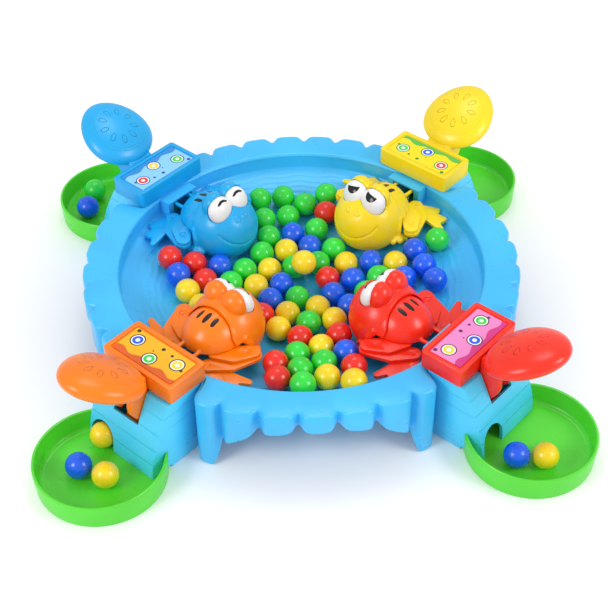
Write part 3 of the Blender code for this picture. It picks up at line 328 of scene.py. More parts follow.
def skinned(piece, voxel=SKIN_VOXEL, share=SKIN_SHARE):
    """Melt a solid into one smooth skin."""
    remesh = piece.modifiers.new("skin", "REMESH")
    remesh.mode = "VOXEL"
    remesh.voxel_size = voxel
    soften = piece.modifiers.new("soften", "SMOOTH")
    soften.factor = SKIN_SOFTENING
    soften.iterations = SKIN_ROUNDS
    lighten = piece.modifiers.new("lighten", "DECIMATE")
    lighten.ratio = share
    settled(piece)
    piece.data.shade_smooth()
    print(f"{piece.name}: {len(piece.data.polygons)} faces in its skin")
    return piece


# %% [markdown]
# A finished piece has its place in its mesh and its object at the origin. One pattern is turned to each
# station, where it rides on that station's body and stands for the CAD nodes that it replaces.

# %% Dressing the stations
def dress(piece, body, nodes, finish):
    """Give a finished piece its material and body, and hide the CAD nodes that it replaces."""
    piece.data.materials.clear()
    piece.data.materials.append(finish)
    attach(piece, body)
    if nodes:
        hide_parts(*nodes)
    return piece


def dress_stations(pattern, name, body, nodes, finishes):
    """Turn a pattern to the four stations. A finish may be one for all, or one for each."""
    for station, degrees in STATION_DEGREES.items():
        mesh = pattern.data.copy()
        mesh.transform(Matrix.Rotation(math.radians(degrees), 4, "Z"))
        piece = bpy.data.objects.new(name.format(station), mesh)
        bpy.context.collection.objects.link(piece)
        finish = finishes[station] if isinstance(finishes, dict) else finishes
        dress(piece, body.format(station), [node.format(station) for node in nodes], finish)
    print(f"{name.format('station')}: {len(pattern.data.polygons)} faces, four times")
    bpy.data.objects.remove(pattern)


# %% [markdown]
# Nearly everything is ABS, injection moulded in a polished tool. It gives the eye a clear even colour
# under a soft gloss: wide highlights that are a little broken by flow and shrinkage. A slow noise shifts
# the colour by a few percent, a finer one varies the gloss, and a fine bump keeps the highlight from
# looking like glass. Small helpers add and link the nodes, so that each finish reads as a short list
# of what the surface does.

# %% Colours and nodes
def linear(code):
    """An sRGB hex value as linear red, green, blue and alpha."""
    channels = [int(code[start:start + 2], 16) / 255 for start in (1, 3, 5)]
    return (*[c / 12.92 if c < 0.04045 else ((c + 0.055) / 1.055) ** 2.4 for c in channels], 1)


def feed(tree, socket, value):
    """Link another node's output to an input, or set the input's own value."""
    if isinstance(value, bpy.types.NodeSocket):
        tree.links.new(value, socket)
    else:
        socket.default_value = value


def add(tree, kind, settings=None, **links):
    """Add a node: settings by property or input name, links by input name or number."""
    node = tree.nodes.new(kind)
    for name, value in (settings or {}).items():
        if isinstance(name, int) or name in node.inputs:
            feed(tree, node.inputs[name], value)
        else:
            setattr(node, name, value)
    for name, source in links.items():
        key = int(name[1:]) if name[1:].isdigit() else name.replace("_", " ")
        tree.links.new(source, node.inputs[key])
    return node


# %% Sums and ranges
def maths(tree, operation, *values):
    """Result of a sum. Each value is a number or another node's output."""
    settings = {"operation": operation, **dict(enumerate(values))}
    return add(tree, "ShaderNodeMath", settings).outputs["Value"]


def vectors(tree, operation, *values, out="Value"):
    """Result of a sum of vectors: a number, or a vector if asked for."""
    settings = {"operation": operation, **dict(enumerate(values))}
    return add(tree, "ShaderNodeVectorMath", settings).outputs[out]


def mapped(tree, value, start, end, low=0, high=1, curve="LINEAR"):
    """Value whose stretch from start to end becomes low to high, held at both ends."""
    span = {"From Min": start, "From Max": end, "To Min": low, "To Max": high, "interpolation_type": curve}
    return add(tree, "ShaderNodeMapRange", span, Value=value).outputs["Result"]


def noise(tree, place, scale, detail):
    """Level of a noise, between 0 and 1."""
    return add(tree, "ShaderNodeTexNoise", {"Scale": scale, "Detail": detail}, Vector=place).outputs["Fac"]


# %% Two colours
def shades(colour, shares):
    """A colour at several shares of its brightness."""
    return [(*(Vector(linear(colour)[:3]) * share), 1) for share in shares]


def tinted(tree, level, colours, places=(0, 1)):
    """Colour that goes from one to the other as the level passes from place to place."""
    ramp = add(tree, "ShaderNodeValToRGB", Fac=level)
    for stop, colour, spot in zip(ramp.color_ramp.elements, colours, places):
        stop.position = spot
        stop.color = colour
    return ramp.outputs["Color"]


def painted(tree, mask, under, over):
    """One colour over another where the mask is one."""
    return add(tree, "ShaderNodeMix", {"data_type": "RGBA", 6: under, 7: over}, _0=mask).outputs[2]


# %% Start and end of a material
def started(name, levels):
    """New material and its tree, with the shader's inputs set to the levels given."""
    made = bpy.data.materials.new(name)
    made.use_nodes = True
    for label, level in levels.items():
        made.node_tree.nodes["Principled BSDF"].inputs[label].default_value = level
    return made, made.node_tree


def completed(made, **sources):
    """Link the sources to the material's shader by input name."""
    tree = made.node_tree
    for name, source in sources.items():
        tree.links.new(source, tree.nodes["Principled BSDF"].inputs[name.replace("_", " ")])
    return made


# %% Moulded ABS
ABS_IOR = 1.53
ABS_ROUGHNESS = (0.24, 0.34)
ABS_SHADES = (0.93, 1.05)
ABS_SHADE_LEVELS = (0.3, 0.7)
SHRINK_MARK = 0.035
FLOW_MARK = 0.012
ORANGE_PEEL = 0.0012
PEEL_STRENGTH = 0.05
BUMP_DEPTH = 0.0001


def moulded_abs(name, colour, relief=None, relief_depth=0):
    """ABS from a polished mould. Relief is a function that adds a height pattern to the tree."""
    made, tree = started(name, {"IOR": ABS_IOR})
    place = add(tree, "ShaderNodeTexCoord").outputs["Object"]
    slow = noise(tree, place, 1 / SHRINK_MARK, 1)
    tint = tinted(tree, slow, shades(colour, ABS_SHADES), ABS_SHADE_LEVELS)
    gloss = mapped(tree, noise(tree, place, 1 / FLOW_MARK, 2), 0, 1, *ABS_ROUGHNESS)
    peel = noise(tree, place, 1 / ORANGE_PEEL, 1)
    bump = add(tree, "ShaderNodeBump", {"Strength": PEEL_STRENGTH, "Distance": BUMP_DEPTH}, Height=peel)
    if relief:
        height = relief(tree, place)
        under = bump.outputs["Normal"]
        bump = add(tree, "ShaderNodeBump", {"Distance": relief_depth}, Height=height, Normal=under)
    return completed(made, Base_Color=tint, Roughness=gloss, Normal=bump.outputs["Normal"])


# %% [markdown]
# The arena is a shallow dish with a lobed rim. Its dish is a turned profile. The rim follows a rule:
# lobes of equal width run round each side, the skirt under them hangs in an arch with a scallop
# below each lobe, and two narrower lobes come down to the table as legs. Half a side is drawn once,
# mirrored and turned, and the cross-section is lofted through rounded loops.

# %% Arena sizes
BOWL_RADIUS = 0.109
BOWL_WALL = 0.0022
BOWL_STEPS = 144
RIM_HEIGHT = 0.047
FLOOR_EDGE_HEIGHT = 0.0345
FLOOR_DISH = 0.016
FLOOR_RING_SHARES = (0.93, 0.84, 0.72, 0.6, 0.48, 0.36, 0.24, 0.12)
FLOOR_COVE = 0.003
FLOOR_COVE_DEGREES = (-80, 0)
COVE_STEPS = 5
RIM_ROUND = 0.0018
RIM_PLATE = 0.0018
RIM_LIP = 0.0005
LOBE_CREST_RADIUS = 0.130
LOBE_VALLEY_RADIUS = 0.1245
LOBES_BETWEEN_LEGS = 5
LOBE_DEGREES = 9.75
LEG_LOBE_DEGREES = 7.2
HALF_LOBE_SHARES = (0.2, 0.4, 0.55, 0.67, 0.77, 0.86, 0.94)
LOBE_POINT_SHARES = [-share for share in reversed(HALF_LOBE_SHARES)] + [0, *HALF_LOBE_SHARES]
LOBE_FLATNESS = 3
LOBE_SQUARENESS = 3
NOTCH_POINT_SHARES = (1, 0.36)
GROOVE_RADIUS = 0.1195
SKIRT_ARCH_HEIGHT = 0.037
SKIRT_HAUNCH_HEIGHT = 0.018
SKIRT_ARCH_POWER = 2.8
SKIRT_SCALLOP = 0.0022
SKIRT_BACK_HEIGHT = 0.0195
LEG_GROOVE_SHARE = 0.3
LEG_EDGE_START = 0.3
LEG_EDGE_POWER = 2.5
LIP_DEGREES = (0, 30, 60, 90)
RIM_ROUND_DEGREES = (90, 68, 45, 22, 0)
HEM_DEGREES = (0, 45, 90, 135, 180)
ARENA_SMOOTH_DEGREES = 38
HOUSING_HALF_WIDTH = 0.0253
HOUSING_BACK_RADIUS = 0.1124
NOTCH_RADIUS = HOUSING_BACK_RADIUS - GAP
NOTCH_HALF_WIDTH = HOUSING_HALF_WIDTH + 2 * GAP
print("arena bowl, mm:", round(BOWL_RADIUS * 2000))

# %% Lobes and skirt
def floor_height(radius):
    """Height of the dished floor at a radius."""
    return FLOOR_EDGE_HEIGHT - FLOOR_DISH + FLOOR_DISH * (radius / BOWL_RADIUS) ** 2


def skirt_height(degrees):
    """Height of the skirt's arched lower edge, without its scallops."""
    haunch = LOBES_BETWEEN_LEGS * LOBE_DEGREES / 2
    share = (abs(degrees) / haunch) ** SKIRT_ARCH_POWER
    return SKIRT_ARCH_HEIGHT - (SKIRT_ARCH_HEIGHT - SKIRT_HAUNCH_HEIGHT) * share


def leg_edge_share(share):
    """Share of the haunch height at which a leg's lower edge lies, across the leg's lobe."""
    return max(0, (-share - LEG_EDGE_START) / (1 - LEG_EDGE_START)) ** LEG_EDGE_POWER


def half_quadrant():
    """Rim outline from the middle of a side to the notch of a station, with the skirt's height.

    Each entry is (radius, degrees from the middle of the side, height of the lower edge).
    """
    def lobe_radius(share, valley):
        rise = (1 + math.cos(math.pi * abs(share) ** LOBE_FLATNESS)) / 2
        if valley == GROOVE_RADIUS:
            rise = math.sqrt(1 - abs(share) ** LOBE_SQUARENESS)
        return valley + (LOBE_CREST_RADIUS - valley) * rise

    points = []
    for lobe in range((LOBES_BETWEEN_LEGS + 1) // 2):
        middle = lobe * LOBE_DEGREES
        for share in LOBE_POINT_SHARES:
            degrees = middle + share * LOBE_DEGREES / 2
            if degrees < 0 or (degrees == 0 and share < 0):
                continue
            drop = SKIRT_SCALLOP * (1 - share ** 2)
            points.append((lobe_radius(share, LOBE_VALLEY_RADIUS), degrees, skirt_height(degrees) - drop))
        edge = middle + LOBE_DEGREES / 2
        points.append((LOBE_VALLEY_RADIUS, edge, skirt_height(edge)))
    haunch = LOBES_BETWEEN_LEGS * LOBE_DEGREES / 2
    for share in LOBE_POINT_SHARES:
        degrees = haunch + (1 + share) * LEG_LOBE_DEGREES / 2
        valley = LOBE_VALLEY_RADIUS if share < 0 else GROOVE_RADIUS
        points.append((lobe_radius(share, valley), degrees, leg_edge_share(share) * SKIRT_HAUNCH_HEIGHT))
    points.append((GROOVE_RADIUS, haunch + LEG_LOBE_DEGREES, LEG_GROOVE_SHARE * SKIRT_HAUNCH_HEIGHT))
    for share in NOTCH_POINT_SHARES:
        corner = Vector((NOTCH_RADIUS, share * NOTCH_HALF_WIDTH))
        turn = 45 - math.degrees(math.atan2(corner.y, corner.x))
        points.append((corner.length, turn, SKIRT_BACK_HEIGHT))
    return points


# %% Rim
def rim_loops(outline, edge):
    """Loops of the rim's rounded cross-section, from the bowl's lip round to the underside."""
    directions = [math.degrees(math.atan2(y, x)) for x, y in outline]
    loops = []

    def level(points, height):
        loops.append([(x, y, height) for x, y in points])

    for turn in LIP_DEGREES:
        x, z = polar(RIM_PLATE, turn)
        lip = BOWL_RADIUS - RIM_LIP + RIM_PLATE - x
        level([polar(lip, degrees) for degrees in directions], RIM_HEIGHT - RIM_PLATE + z)
    for turn in RIM_ROUND_DEGREES:
        x, z = polar(RIM_ROUND, turn)
        level(inset(outline, RIM_ROUND - x), RIM_HEIGHT - RIM_ROUND + z)
    hem = SHELL_WALL / 2
    back = inset(outline, SHELL_WALL)
    for turn in HEM_DEGREES:
        x, z = polar(hem, turn)
        ring = inset(outline, hem - x)
        loops.append([(px, py, height + hem - z) for (px, py), height in zip(ring, edge)])
    level(back, RIM_HEIGHT - SHELL_WALL)
    level([polar(BOWL_RADIUS + BLEND, degrees) for degrees in directions], RIM_HEIGHT - SHELL_WALL)
    return loops


def build_rim():
    """Rim and skirt of all four sides in one loft."""
    half = half_quadrant()
    around = [(radius, -degrees, height) for radius, degrees, height in reversed(half[1:])] + half
    outline, edge = [], []
    for side in range(4):
        for radius, degrees, height in around:
            outline.append(polar(radius, 90 * side + degrees))
            edge.append(height)
    print(f"rim: {len(outline)} points round its edge")
    return lofted("rim", rim_loops(outline, edge))


# %% [markdown]
# Each station has a doorway in the wall, framed by a boss, and a chute sunk in the floor that starts
# under the frog. Two posts beside it carry the ankle pins of the frog's legs. They are the same
# solids as in the CAD model, with rounder pins.

# %% Chute and doorway sizes
CHUTE_HALF_WIDTH = 0.0083
CHUTE_WALL = 0.002
CHUTE_START_RADIUS = 0.0725
CHUTE_BEND_RADIUS = 0.100
CHUTE_FLOOR_HEIGHT = 0.0255
CHUTE_LIP_HEIGHT = 0.0233
BOSS_HALF_WIDTH = 0.0124
BOSS_DEPTH = 0.009
DOORWAY_HEIGHT = 0.0449
LEAF_THICKNESS = 0.002
FOOT_HEIGHT = 0.0352
ANKLE = (0.095, 0.014)
KNEE = (0.0755, 0.0245)
HIP = (0.084, 0.010)
LEG_PIN_RADIUS = 0.0014
LEG_PIN_STEPS = 24
# The ankle pins end inside the leaf, whose skin closes over them
ANKLE_SKIN = 0.0008
ANKLE_POST_RADIUS = 0.0032
SHIN_HEIGHT = FOOT_HEIGHT + LEAF_THICKNESS + GAP
THIGH_HEIGHT = SHIN_HEIGHT + LEAF_THICKNESS + GAP

# %% Chute and doorway
def doorway_solids():
    """Boss round the doorway, trough of the chute and the two ankle posts, at one station."""
    boss_face = BOWL_RADIUS - BOSS_DEPTH
    boss_middle = BOWL_RADIUS + BOWL_WALL / 2
    floor = floor_height(boss_face) - BOWL_WALL / 2
    boss_top = RIM_HEIGHT - RIM_PLATE / 2
    boss = box("boss", (boss_face, -BOSS_HALF_WIDTH, floor), (boss_middle, BOSS_HALF_WIDTH, boss_top))
    outer = CHUTE_HALF_WIDTH + CHUTE_WALL
    trough = side_prism("trough", [
        (CHUTE_START_RADIUS, CHUTE_FLOOR_HEIGHT - CHUTE_WALL),
        (CHUTE_BEND_RADIUS, CHUTE_FLOOR_HEIGHT - CHUTE_WALL),
        (NOTCH_RADIUS - BLEND, CHUTE_LIP_HEIGHT - CHUTE_WALL),
        (NOTCH_RADIUS - BLEND, FLOOR_EDGE_HEIGHT),
        (BOWL_RADIUS + BLEND, FLOOR_EDGE_HEIGHT),
        (BOWL_RADIUS + BLEND, floor_height(BOWL_RADIUS) - BOWL_WALL / 2),
        (CHUTE_START_RADIUS, floor_height(CHUTE_START_RADIUS) - BOWL_WALL / 2),
    ], -outer, outer)
    solids = [boss, trough]
    for side in SIDES.values():
        x, y = ANKLE[0], side * ANKLE[1]
        foot = floor_height(math.hypot(x, y)) - BOWL_WALL / 2
        rest = FOOT_HEIGHT - GAP
        tip = SHIN_HEIGHT + LEAF_THICKNESS - GAP
        post = upright("ankle_post", (x, y), foot, rest, ANKLE_POST_RADIUS, LEG_PIN_STEPS)
        pin = upright("ankle_pin", (x, y), foot, tip - ANKLE_SKIN - GAP, LEG_PIN_RADIUS, LEG_PIN_STEPS)
        solids.append(join(post, pin))
    return solids


def doorway_cutter():
    """Space of the chute and of the doorway through boss and wall."""
    boss_face = BOWL_RADIUS - BOSS_DEPTH
    end = NOTCH_RADIUS + OVERRUN
    return side_prism("doorway", [
        (CHUTE_START_RADIUS, floor_height(CHUTE_START_RADIUS)),
        (CHUTE_START_RADIUS + CHUTE_WALL, CHUTE_FLOOR_HEIGHT),
        (CHUTE_BEND_RADIUS, CHUTE_FLOOR_HEIGHT),
        (end, CHUTE_LIP_HEIGHT),
        (end, DOORWAY_HEIGHT),
        (boss_face - OVERRUN, DOORWAY_HEIGHT),
        (CHUTE_START_RADIUS, DOORWAY_HEIGHT),
    ], -CHUTE_HALF_WIDTH, CHUTE_HALF_WIDTH)


# %% Arena
def build_arena():
    """Bowl, rim and skirt, with the doorways, chutes and ankle posts."""
    cove_middle = (BOWL_RADIUS - FLOOR_COVE, floor_height(BOWL_RADIUS) + FLOOR_COVE)
    floor_rings = [(share * BOWL_RADIUS, floor_height(share * BOWL_RADIUS)) for share in FLOOR_RING_SHARES]
    bowl_top = RIM_HEIGHT - RIM_PLATE
    profile = [(0, floor_height(0)), *reversed(floor_rings)]
    profile += arc(cove_middle, FLOOR_COVE, *FLOOR_COVE_DEGREES, COVE_STEPS)
    profile += [(BOWL_RADIUS, bowl_top), (BOWL_RADIUS + BOWL_WALL, bowl_top)]
    profile += [(BOWL_RADIUS + BOWL_WALL, FLOOR_EDGE_HEIGHT - BOWL_WALL)]
    profile += [(radius, height - BOWL_WALL) for radius, height in floor_rings]
    profile.append((0, floor_height(0) - BOWL_WALL))
    arena = join(turned("arena_moulding", profile, BOWL_STEPS), build_rim())
    for degrees in STATION_DEGREES.values():
        turn = Matrix.Rotation(math.radians(degrees), 4, "Z")
        for solid in doorway_solids():
            solid.data.transform(turn)
            join(arena, solid)
        cutter = doorway_cutter()
        cutter.data.transform(turn)
        cut(arena, cutter)
    return smooth(arena, ARENA_SMOOTH_DEGREES)


arena = build_arena()
print(f"arena: {len(arena.data.polygons)} faces")

# %% [markdown]
# The arena's floor carries faint ripples near the wall, a wavy relief cut into the mould. They are
# rings that weave in and out as they go round, drawn as a height pattern from the distance to the
# middle and the angle, and masked to the outer floor.

# %% Ripples of the arena floor
RIPPLE_SPACING = 0.0042
RIPPLE_LOBES = 28
RIPPLE_SWING = 0.9
RIPPLE_INNER = 0.080
RIPPLE_OUTER = 0.106
RIPPLE_DEPTH = 0.00008


def ripples(tree, place):
    """Height of the weaving rings on the floor near the wall."""
    parts = add(tree, "ShaderNodeSeparateXYZ", Vector=place).outputs
    flat = add(tree, "ShaderNodeCombineXYZ", X=parts["X"], Y=parts["Y"]).outputs["Vector"]
    distance = vectors(tree, "LENGTH", flat)
    angle = maths(tree, "ARCTAN2", parts["Y"], parts["X"])
    weave = maths(tree, "SINE", maths(tree, "MULTIPLY", angle, RIPPLE_LOBES))
    swing = maths(tree, "MULTIPLY", weave, RIPPLE_SWING)
    rings = maths(tree, "MULTIPLY", distance, 2 * math.pi / RIPPLE_SPACING)
    wave = maths(tree, "SINE", maths(tree, "ADD", rings, swing))
    inside = mapped(tree, distance, RIPPLE_INNER, RIPPLE_INNER + 2 * RIPPLE_SPACING)
    outside = mapped(tree, distance, RIPPLE_OUTER, RIPPLE_OUTER - RIPPLE_SPACING / 2)
    return maths(tree, "MULTIPLY", wave, maths(tree, "MULTIPLY", inside, outside))


arena_abs = moulded_abs("sky_blue_abs_moulded", "#40C2FF", ripples, RIPPLE_DEPTH)
dress(arena, "base", ["arena"], arena_abs)

# %% [markdown]
# Outside the wall each player has a housing: a hollow moulding that holds the lever's bearings and
# lets the marbles roll down a ramp inside it to an arch at its foot. Its outline is swept across
# the station and its edges are eased before the hollow, the slot and the arch are cut, so
# that the outer corners stay soft and the openings crisp.

# %% Housing sizes
HOUSING_TOP_RADIUS = 0.1369
HOUSING_SHOULDER = (0.1414, 0.0384)
HOUSING_SLOPE_FOOT = (0.1473, 0.0266)
HOUSING_BELLY = (0.1507, 0.0175)
HOUSING_CHEST = (0.1522, 0.012)
HOUSING_FOOT = (0.1531, 0.006)
HOUSING_FOOT_RADIUS = 0.1533
HOUSING_TRAY_STEP_RADIUS = 0.1384
HOUSING_EDGE = 0.0011
HOUSING_EASED_DEGREES = 40
HOUSING_INSIDE = HOUSING_HALF_WIDTH - SHELL_WALL
DOOR_SILL = CHUTE_LIP_HEIGHT - GAP
SLOT_HALF_WIDTH = 0.0095
SLOT_BACK_RADIUS = 0.1285
SLOT_FRONT_RADIUS = 0.146
SLOT_FLOOR_HEIGHT = 0.028
ARCH_WIDTH = 0.0175
ARCH_HEIGHT = 0.019
ARCH_STEPS = 24
RAMP_FOOT_RADIUS = 0.1265
RAMP_FOOT_HEIGHT = 0.0032
LEVER_AXIS_RADIUS = 0.134
LEVER_AXIS_HEIGHT = 0.042
HUB_RADIUS = 0.0036
HUB_HALF_WIDTH = 0.0092
TRUNNION_RADIUS = 0.0016
BEARING_WALL = 0.002
LEVER_AXIS = (LEVER_AXIS_RADIUS, LEVER_AXIS_HEIGHT)
RIB_INNER = HUB_HALF_WIDTH + 2 * GAP
RIB_OUTER = RIB_INNER + BEARING_WALL
RIB_DEGREES = (180, 330)
TRAY_FLOOR = 0.0024

# %% Housing
def housing_shell():
    """Hollow housing with its ramp and ribs, before the openings are cut."""
    outer = [
        (HOUSING_BACK_RADIUS, 0), (HOUSING_FOOT_RADIUS, 0), HOUSING_FOOT, HOUSING_CHEST, HOUSING_BELLY,
        HOUSING_SLOPE_FOOT, HOUSING_SHOULDER, (HOUSING_TOP_RADIUS, RIM_HEIGHT),
        (HOUSING_BACK_RADIUS, RIM_HEIGHT),
    ]
    inner = inset(outer, SHELL_WALL)
    for corner in (0, 1):
        inner[corner] = (inner[corner][0], -OVERRUN)
    solid = side_prism("housing", outer, -HOUSING_HALF_WIDTH, HOUSING_HALF_WIDTH)
    housing = eased(solid, HOUSING_EDGE, HOUSING_EASED_DEGREES)
    cut(housing, side_prism("hollow", inner, -HOUSING_INSIDE, HOUSING_INSIDE))
    ramp_back = HOUSING_BACK_RADIUS + BLEND
    ramp_side = HOUSING_INSIDE + BLEND
    ramp = side_prism("ramp", [
        (ramp_back, DOOR_SILL - SHELL_WALL), (RAMP_FOOT_RADIUS - SHELL_WALL, RAMP_FOOT_HEIGHT),
        (RAMP_FOOT_RADIUS, RAMP_FOOT_HEIGHT), (HOUSING_BACK_RADIUS + SHELL_WALL, DOOR_SILL),
        (ramp_back, DOOR_SILL),
    ], -ramp_side, ramp_side)
    rib_depth = HUB_RADIUS + SHELL_WALL
    rib_top = RIM_HEIGHT - SHELL_WALL / 2
    rib = [(LEVER_AXIS_RADIUS - rib_depth, rib_top), (LEVER_AXIS_RADIUS - rib_depth, LEVER_AXIS_HEIGHT)]
    rib += arc(LEVER_AXIS, rib_depth, *RIB_DEGREES, ARCH_STEPS // 2)
    rib.append((HOUSING_TOP_RADIUS, rib_top))
    return join(housing, ramp, *side_pair("rib", rib, RIB_INNER, RIB_OUTER))


def build_housing():
    """Hollow housing with slot, bearings, ramp and arch."""
    reach = RIB_OUTER + OVERRUN
    bearing = crossbar("bearing", LEVER_AXIS, -reach, reach, TRUNNION_RADIUS + GAP, ARCH_STEPS * 2)
    slot = box(
        "slot", (SLOT_BACK_RADIUS, -SLOT_HALF_WIDTH, SLOT_FLOOR_HEIGHT),
        (SLOT_FRONT_RADIUS, SLOT_HALF_WIDTH, RIM_HEIGHT + OVERRUN),
    )
    half = ARCH_WIDTH / 2
    middle = half - HOUSING_INSIDE
    arch = [(middle - half, -OVERRUN), (middle + half, -OVERRUN)]
    arch += arc((middle, ARCH_HEIGHT - half), half, 0, 180, ARCH_STEPS)
    front = HOUSING_FOOT_RADIUS + OVERRUN
    archway = front_prism("archway", arch, HOUSING_BELLY[0] - SHELL_WALL - OVERRUN, front)
    door = box(
        "door", (HOUSING_BACK_RADIUS - OVERRUN, -CHUTE_HALF_WIDTH, DOOR_SILL),
        (HOUSING_BACK_RADIUS + SHELL_WALL + OVERRUN, CHUTE_HALF_WIDTH, DOORWAY_HEIGHT),
    )
    wide = HOUSING_HALF_WIDTH + OVERRUN
    tray_step = box(
        "tray_step", (HOUSING_TRAY_STEP_RADIUS, -wide, -OVERRUN), (front, wide, TRAY_FLOOR + GAP)
    )
    return cut(housing_shell(), bearing, slot, archway, door, tray_step)


# The housing's front slope carries low ledges that run level across it, and its sides are plain
LEDGE_SPACING = 0.0088
LEDGE_START = 0.0035
LEDGE_FOOT_SHARE = 0.09
LEDGE_LEAST_SLOPE = 0.08
LEDGE_DEPTH = 0.0003


def ledges(tree, place):
    """Height of the ledges: each swells out at its foot and fades upwards."""
    height = add(tree, "ShaderNodeSeparateXYZ", Vector=place).outputs["Z"]
    step = maths(
        tree, "FRACT", maths(tree, "MULTIPLY_ADD", height, 1 / LEDGE_SPACING, -LEDGE_START / LEDGE_SPACING)
    )
    foot = mapped(tree, step, 0, LEDGE_FOOT_SHARE, curve="SMOOTHSTEP")
    swell = maths(tree, "MULTIPLY", foot, maths(tree, "SUBTRACT", 1, step))
    facing = add(tree, "ShaderNodeNewGeometry").outputs["Normal"]
    upward = add(tree, "ShaderNodeSeparateXYZ", Vector=facing).outputs["Z"]
    return maths(tree, "MULTIPLY", swell, maths(tree, "GREATER_THAN", upward, LEDGE_LEAST_SLOPE))


housing = smooth(build_housing())
cyan_abs = moulded_abs("pale_cyan_abs_moulded", "#4CD2FF", ledges, LEDGE_DEPTH)
dress_stations(housing, "housing_moulding_{}", "base", ["housing_{}"], cyan_abs)

# %% [markdown]
# The trays are round dishes with a thin wall that flares a little. A turned profile with a rounded
# lip makes one, and the wall is cut away where the housing stands in it.

# %% Tray
TRAY_RADIUS = 0.037
TRAY_BASE_RADIUS = 0.0363
TRAY_CENTRE_RADIUS = 0.1672
TRAY_HEIGHT = 0.0153
TRAY_WALL = 0.0018
TRAY_COVE = 0.003
TRAY_STEPS = 128
TRAY_FOOT_STEPS = 3
TRAY_LIP_STEPS = 6


def build_tray():
    """Round dish with a rounded lip, its wall open where the housing stands."""
    lip = TRAY_WALL / 2
    inner = TRAY_BASE_RADIUS - TRAY_WALL
    profile = [(0, 0)] + arc((TRAY_BASE_RADIUS - BLEND, BLEND), BLEND, -90, 0, TRAY_FOOT_STEPS)
    profile += arc((TRAY_RADIUS - lip, TRAY_HEIGHT - lip), lip, 0, 180, TRAY_LIP_STEPS)
    profile += arc((inner - TRAY_COVE, TRAY_FLOOR + TRAY_COVE), TRAY_COVE, 0, -90, COVE_STEPS)
    profile.append((0, TRAY_FLOOR))
    tray = turned("tray", profile, TRAY_STEPS)
    tray.data.transform(Matrix.Translation((TRAY_CENTRE_RADIUS, 0, 0)))
    opening = HOUSING_HALF_WIDTH + GAP
    gate = box(
        "gate", (TRAY_CENTRE_RADIUS - TRAY_RADIUS - OVERRUN, -opening, TRAY_FLOOR),
        (TRAY_CENTRE_RADIUS - TRAY_WALL, opening, TRAY_HEIGHT + OVERRUN),
    )
    return smooth(cut(tray, gate))


green_abs = moulded_abs("leaf_green_abs_moulded", "#58E034")
dress_stations(build_tray(), "tray_moulding_{}", "base", ["tray_{}"], green_abs)

# %% [markdown]
# A plaque covers the joint between arena and housing. It is a rounded block with a raised border, and a
# printed label lies in its recess. The label here is a generic design: a wavy band, rings and dots
# in the game's colours. The label has its own UV map, in label widths, because the pattern has
# to turn with it at each station.

# %% Plaque
PLAQUE_BACK_RADIUS = 0.1078
PLAQUE_LENGTH = 0.0271
PLAQUE_HALF_WIDTH = 0.026
PLAQUE_HEIGHT = 0.058
PLAQUE_CORNER = 0.002
PLAQUE_BORDER = 0.0028
PLAQUE_RECESS = 0.0008
PLAQUE_EDGE = 0.0006
PLAQUE_UNDERSIDE = RIM_HEIGHT + GAP
PLAQUE_ARC_STEPS = 6
LABEL_THICKNESS = 0.0004


def plaque_outline(margin, corner):
    """Rounded rectangle that lies a margin inside the plaque's edge."""
    low = PLAQUE_BACK_RADIUS + margin + corner
    high = PLAQUE_BACK_RADIUS + PLAQUE_LENGTH - margin - corner
    side = PLAQUE_HALF_WIDTH - margin - corner
    points = []
    for quarter, middle in enumerate(((high, side), (low, side), (low, -side), (high, -side))):
        points += arc(middle, corner, 90 * quarter, 90 * (quarter + 1), PLAQUE_ARC_STEPS)
    return points


def build_plaque():
    """Rounded block with a raised border."""
    block = plate("plaque", plaque_outline(0, PLAQUE_CORNER), PLAQUE_UNDERSIDE, PLAQUE_HEIGHT)
    inside = plaque_outline(PLAQUE_BORDER, PLAQUE_EDGE * 2)
    recess = plate("recess", inside, PLAQUE_HEIGHT - PLAQUE_RECESS, PLAQUE_HEIGHT + OVERRUN)
    return smooth(eased(cut(block, recess), PLAQUE_EDGE))


def build_label():
    """Thin printed sheet in the recess, with a UV map across and along it."""
    base = PLAQUE_HEIGHT - PLAQUE_RECESS
    margin = PLAQUE_BORDER + PLAQUE_EDGE + BLEND / 2
    label = plate("label", plaque_outline(margin, PLAQUE_EDGE), base, base + LABEL_THICKNESS)
    sheet = label.data.uv_layers.new(name="print")
    width = 2 * (PLAQUE_HALF_WIDTH - margin)
    for loop in label.data.loops:
        spot = label.data.vertices[loop.vertex_index].co
        middle = PLAQUE_BACK_RADIUS + PLAQUE_LENGTH / 2
        sheet.data[loop.index].uv = (spot.y / width + 0.5, (middle - spot.x) / width + 0.5)
    return smooth(label)


# %% Printed labels
FILM_LEVELS = {"IOR": 1.5, "Roughness": 0.3}
BAND_WAVES = 3
BAND_SWING = 0.025
BAND_HEIGHT = 0.36
SPECK_SCALE = 8
SPECK_SPREAD = 0.6
SPECK_RADIUS = 0.22
LABEL_RINGS = ((0.16, 0.56), (0.5, 0.42), (0.84, 0.56))
RING_RADIUS = 0.085
RING_LINE = 0.016
RING_HEART = RING_RADIUS * 0.36
WHITE_INK = "#FFFFFF"


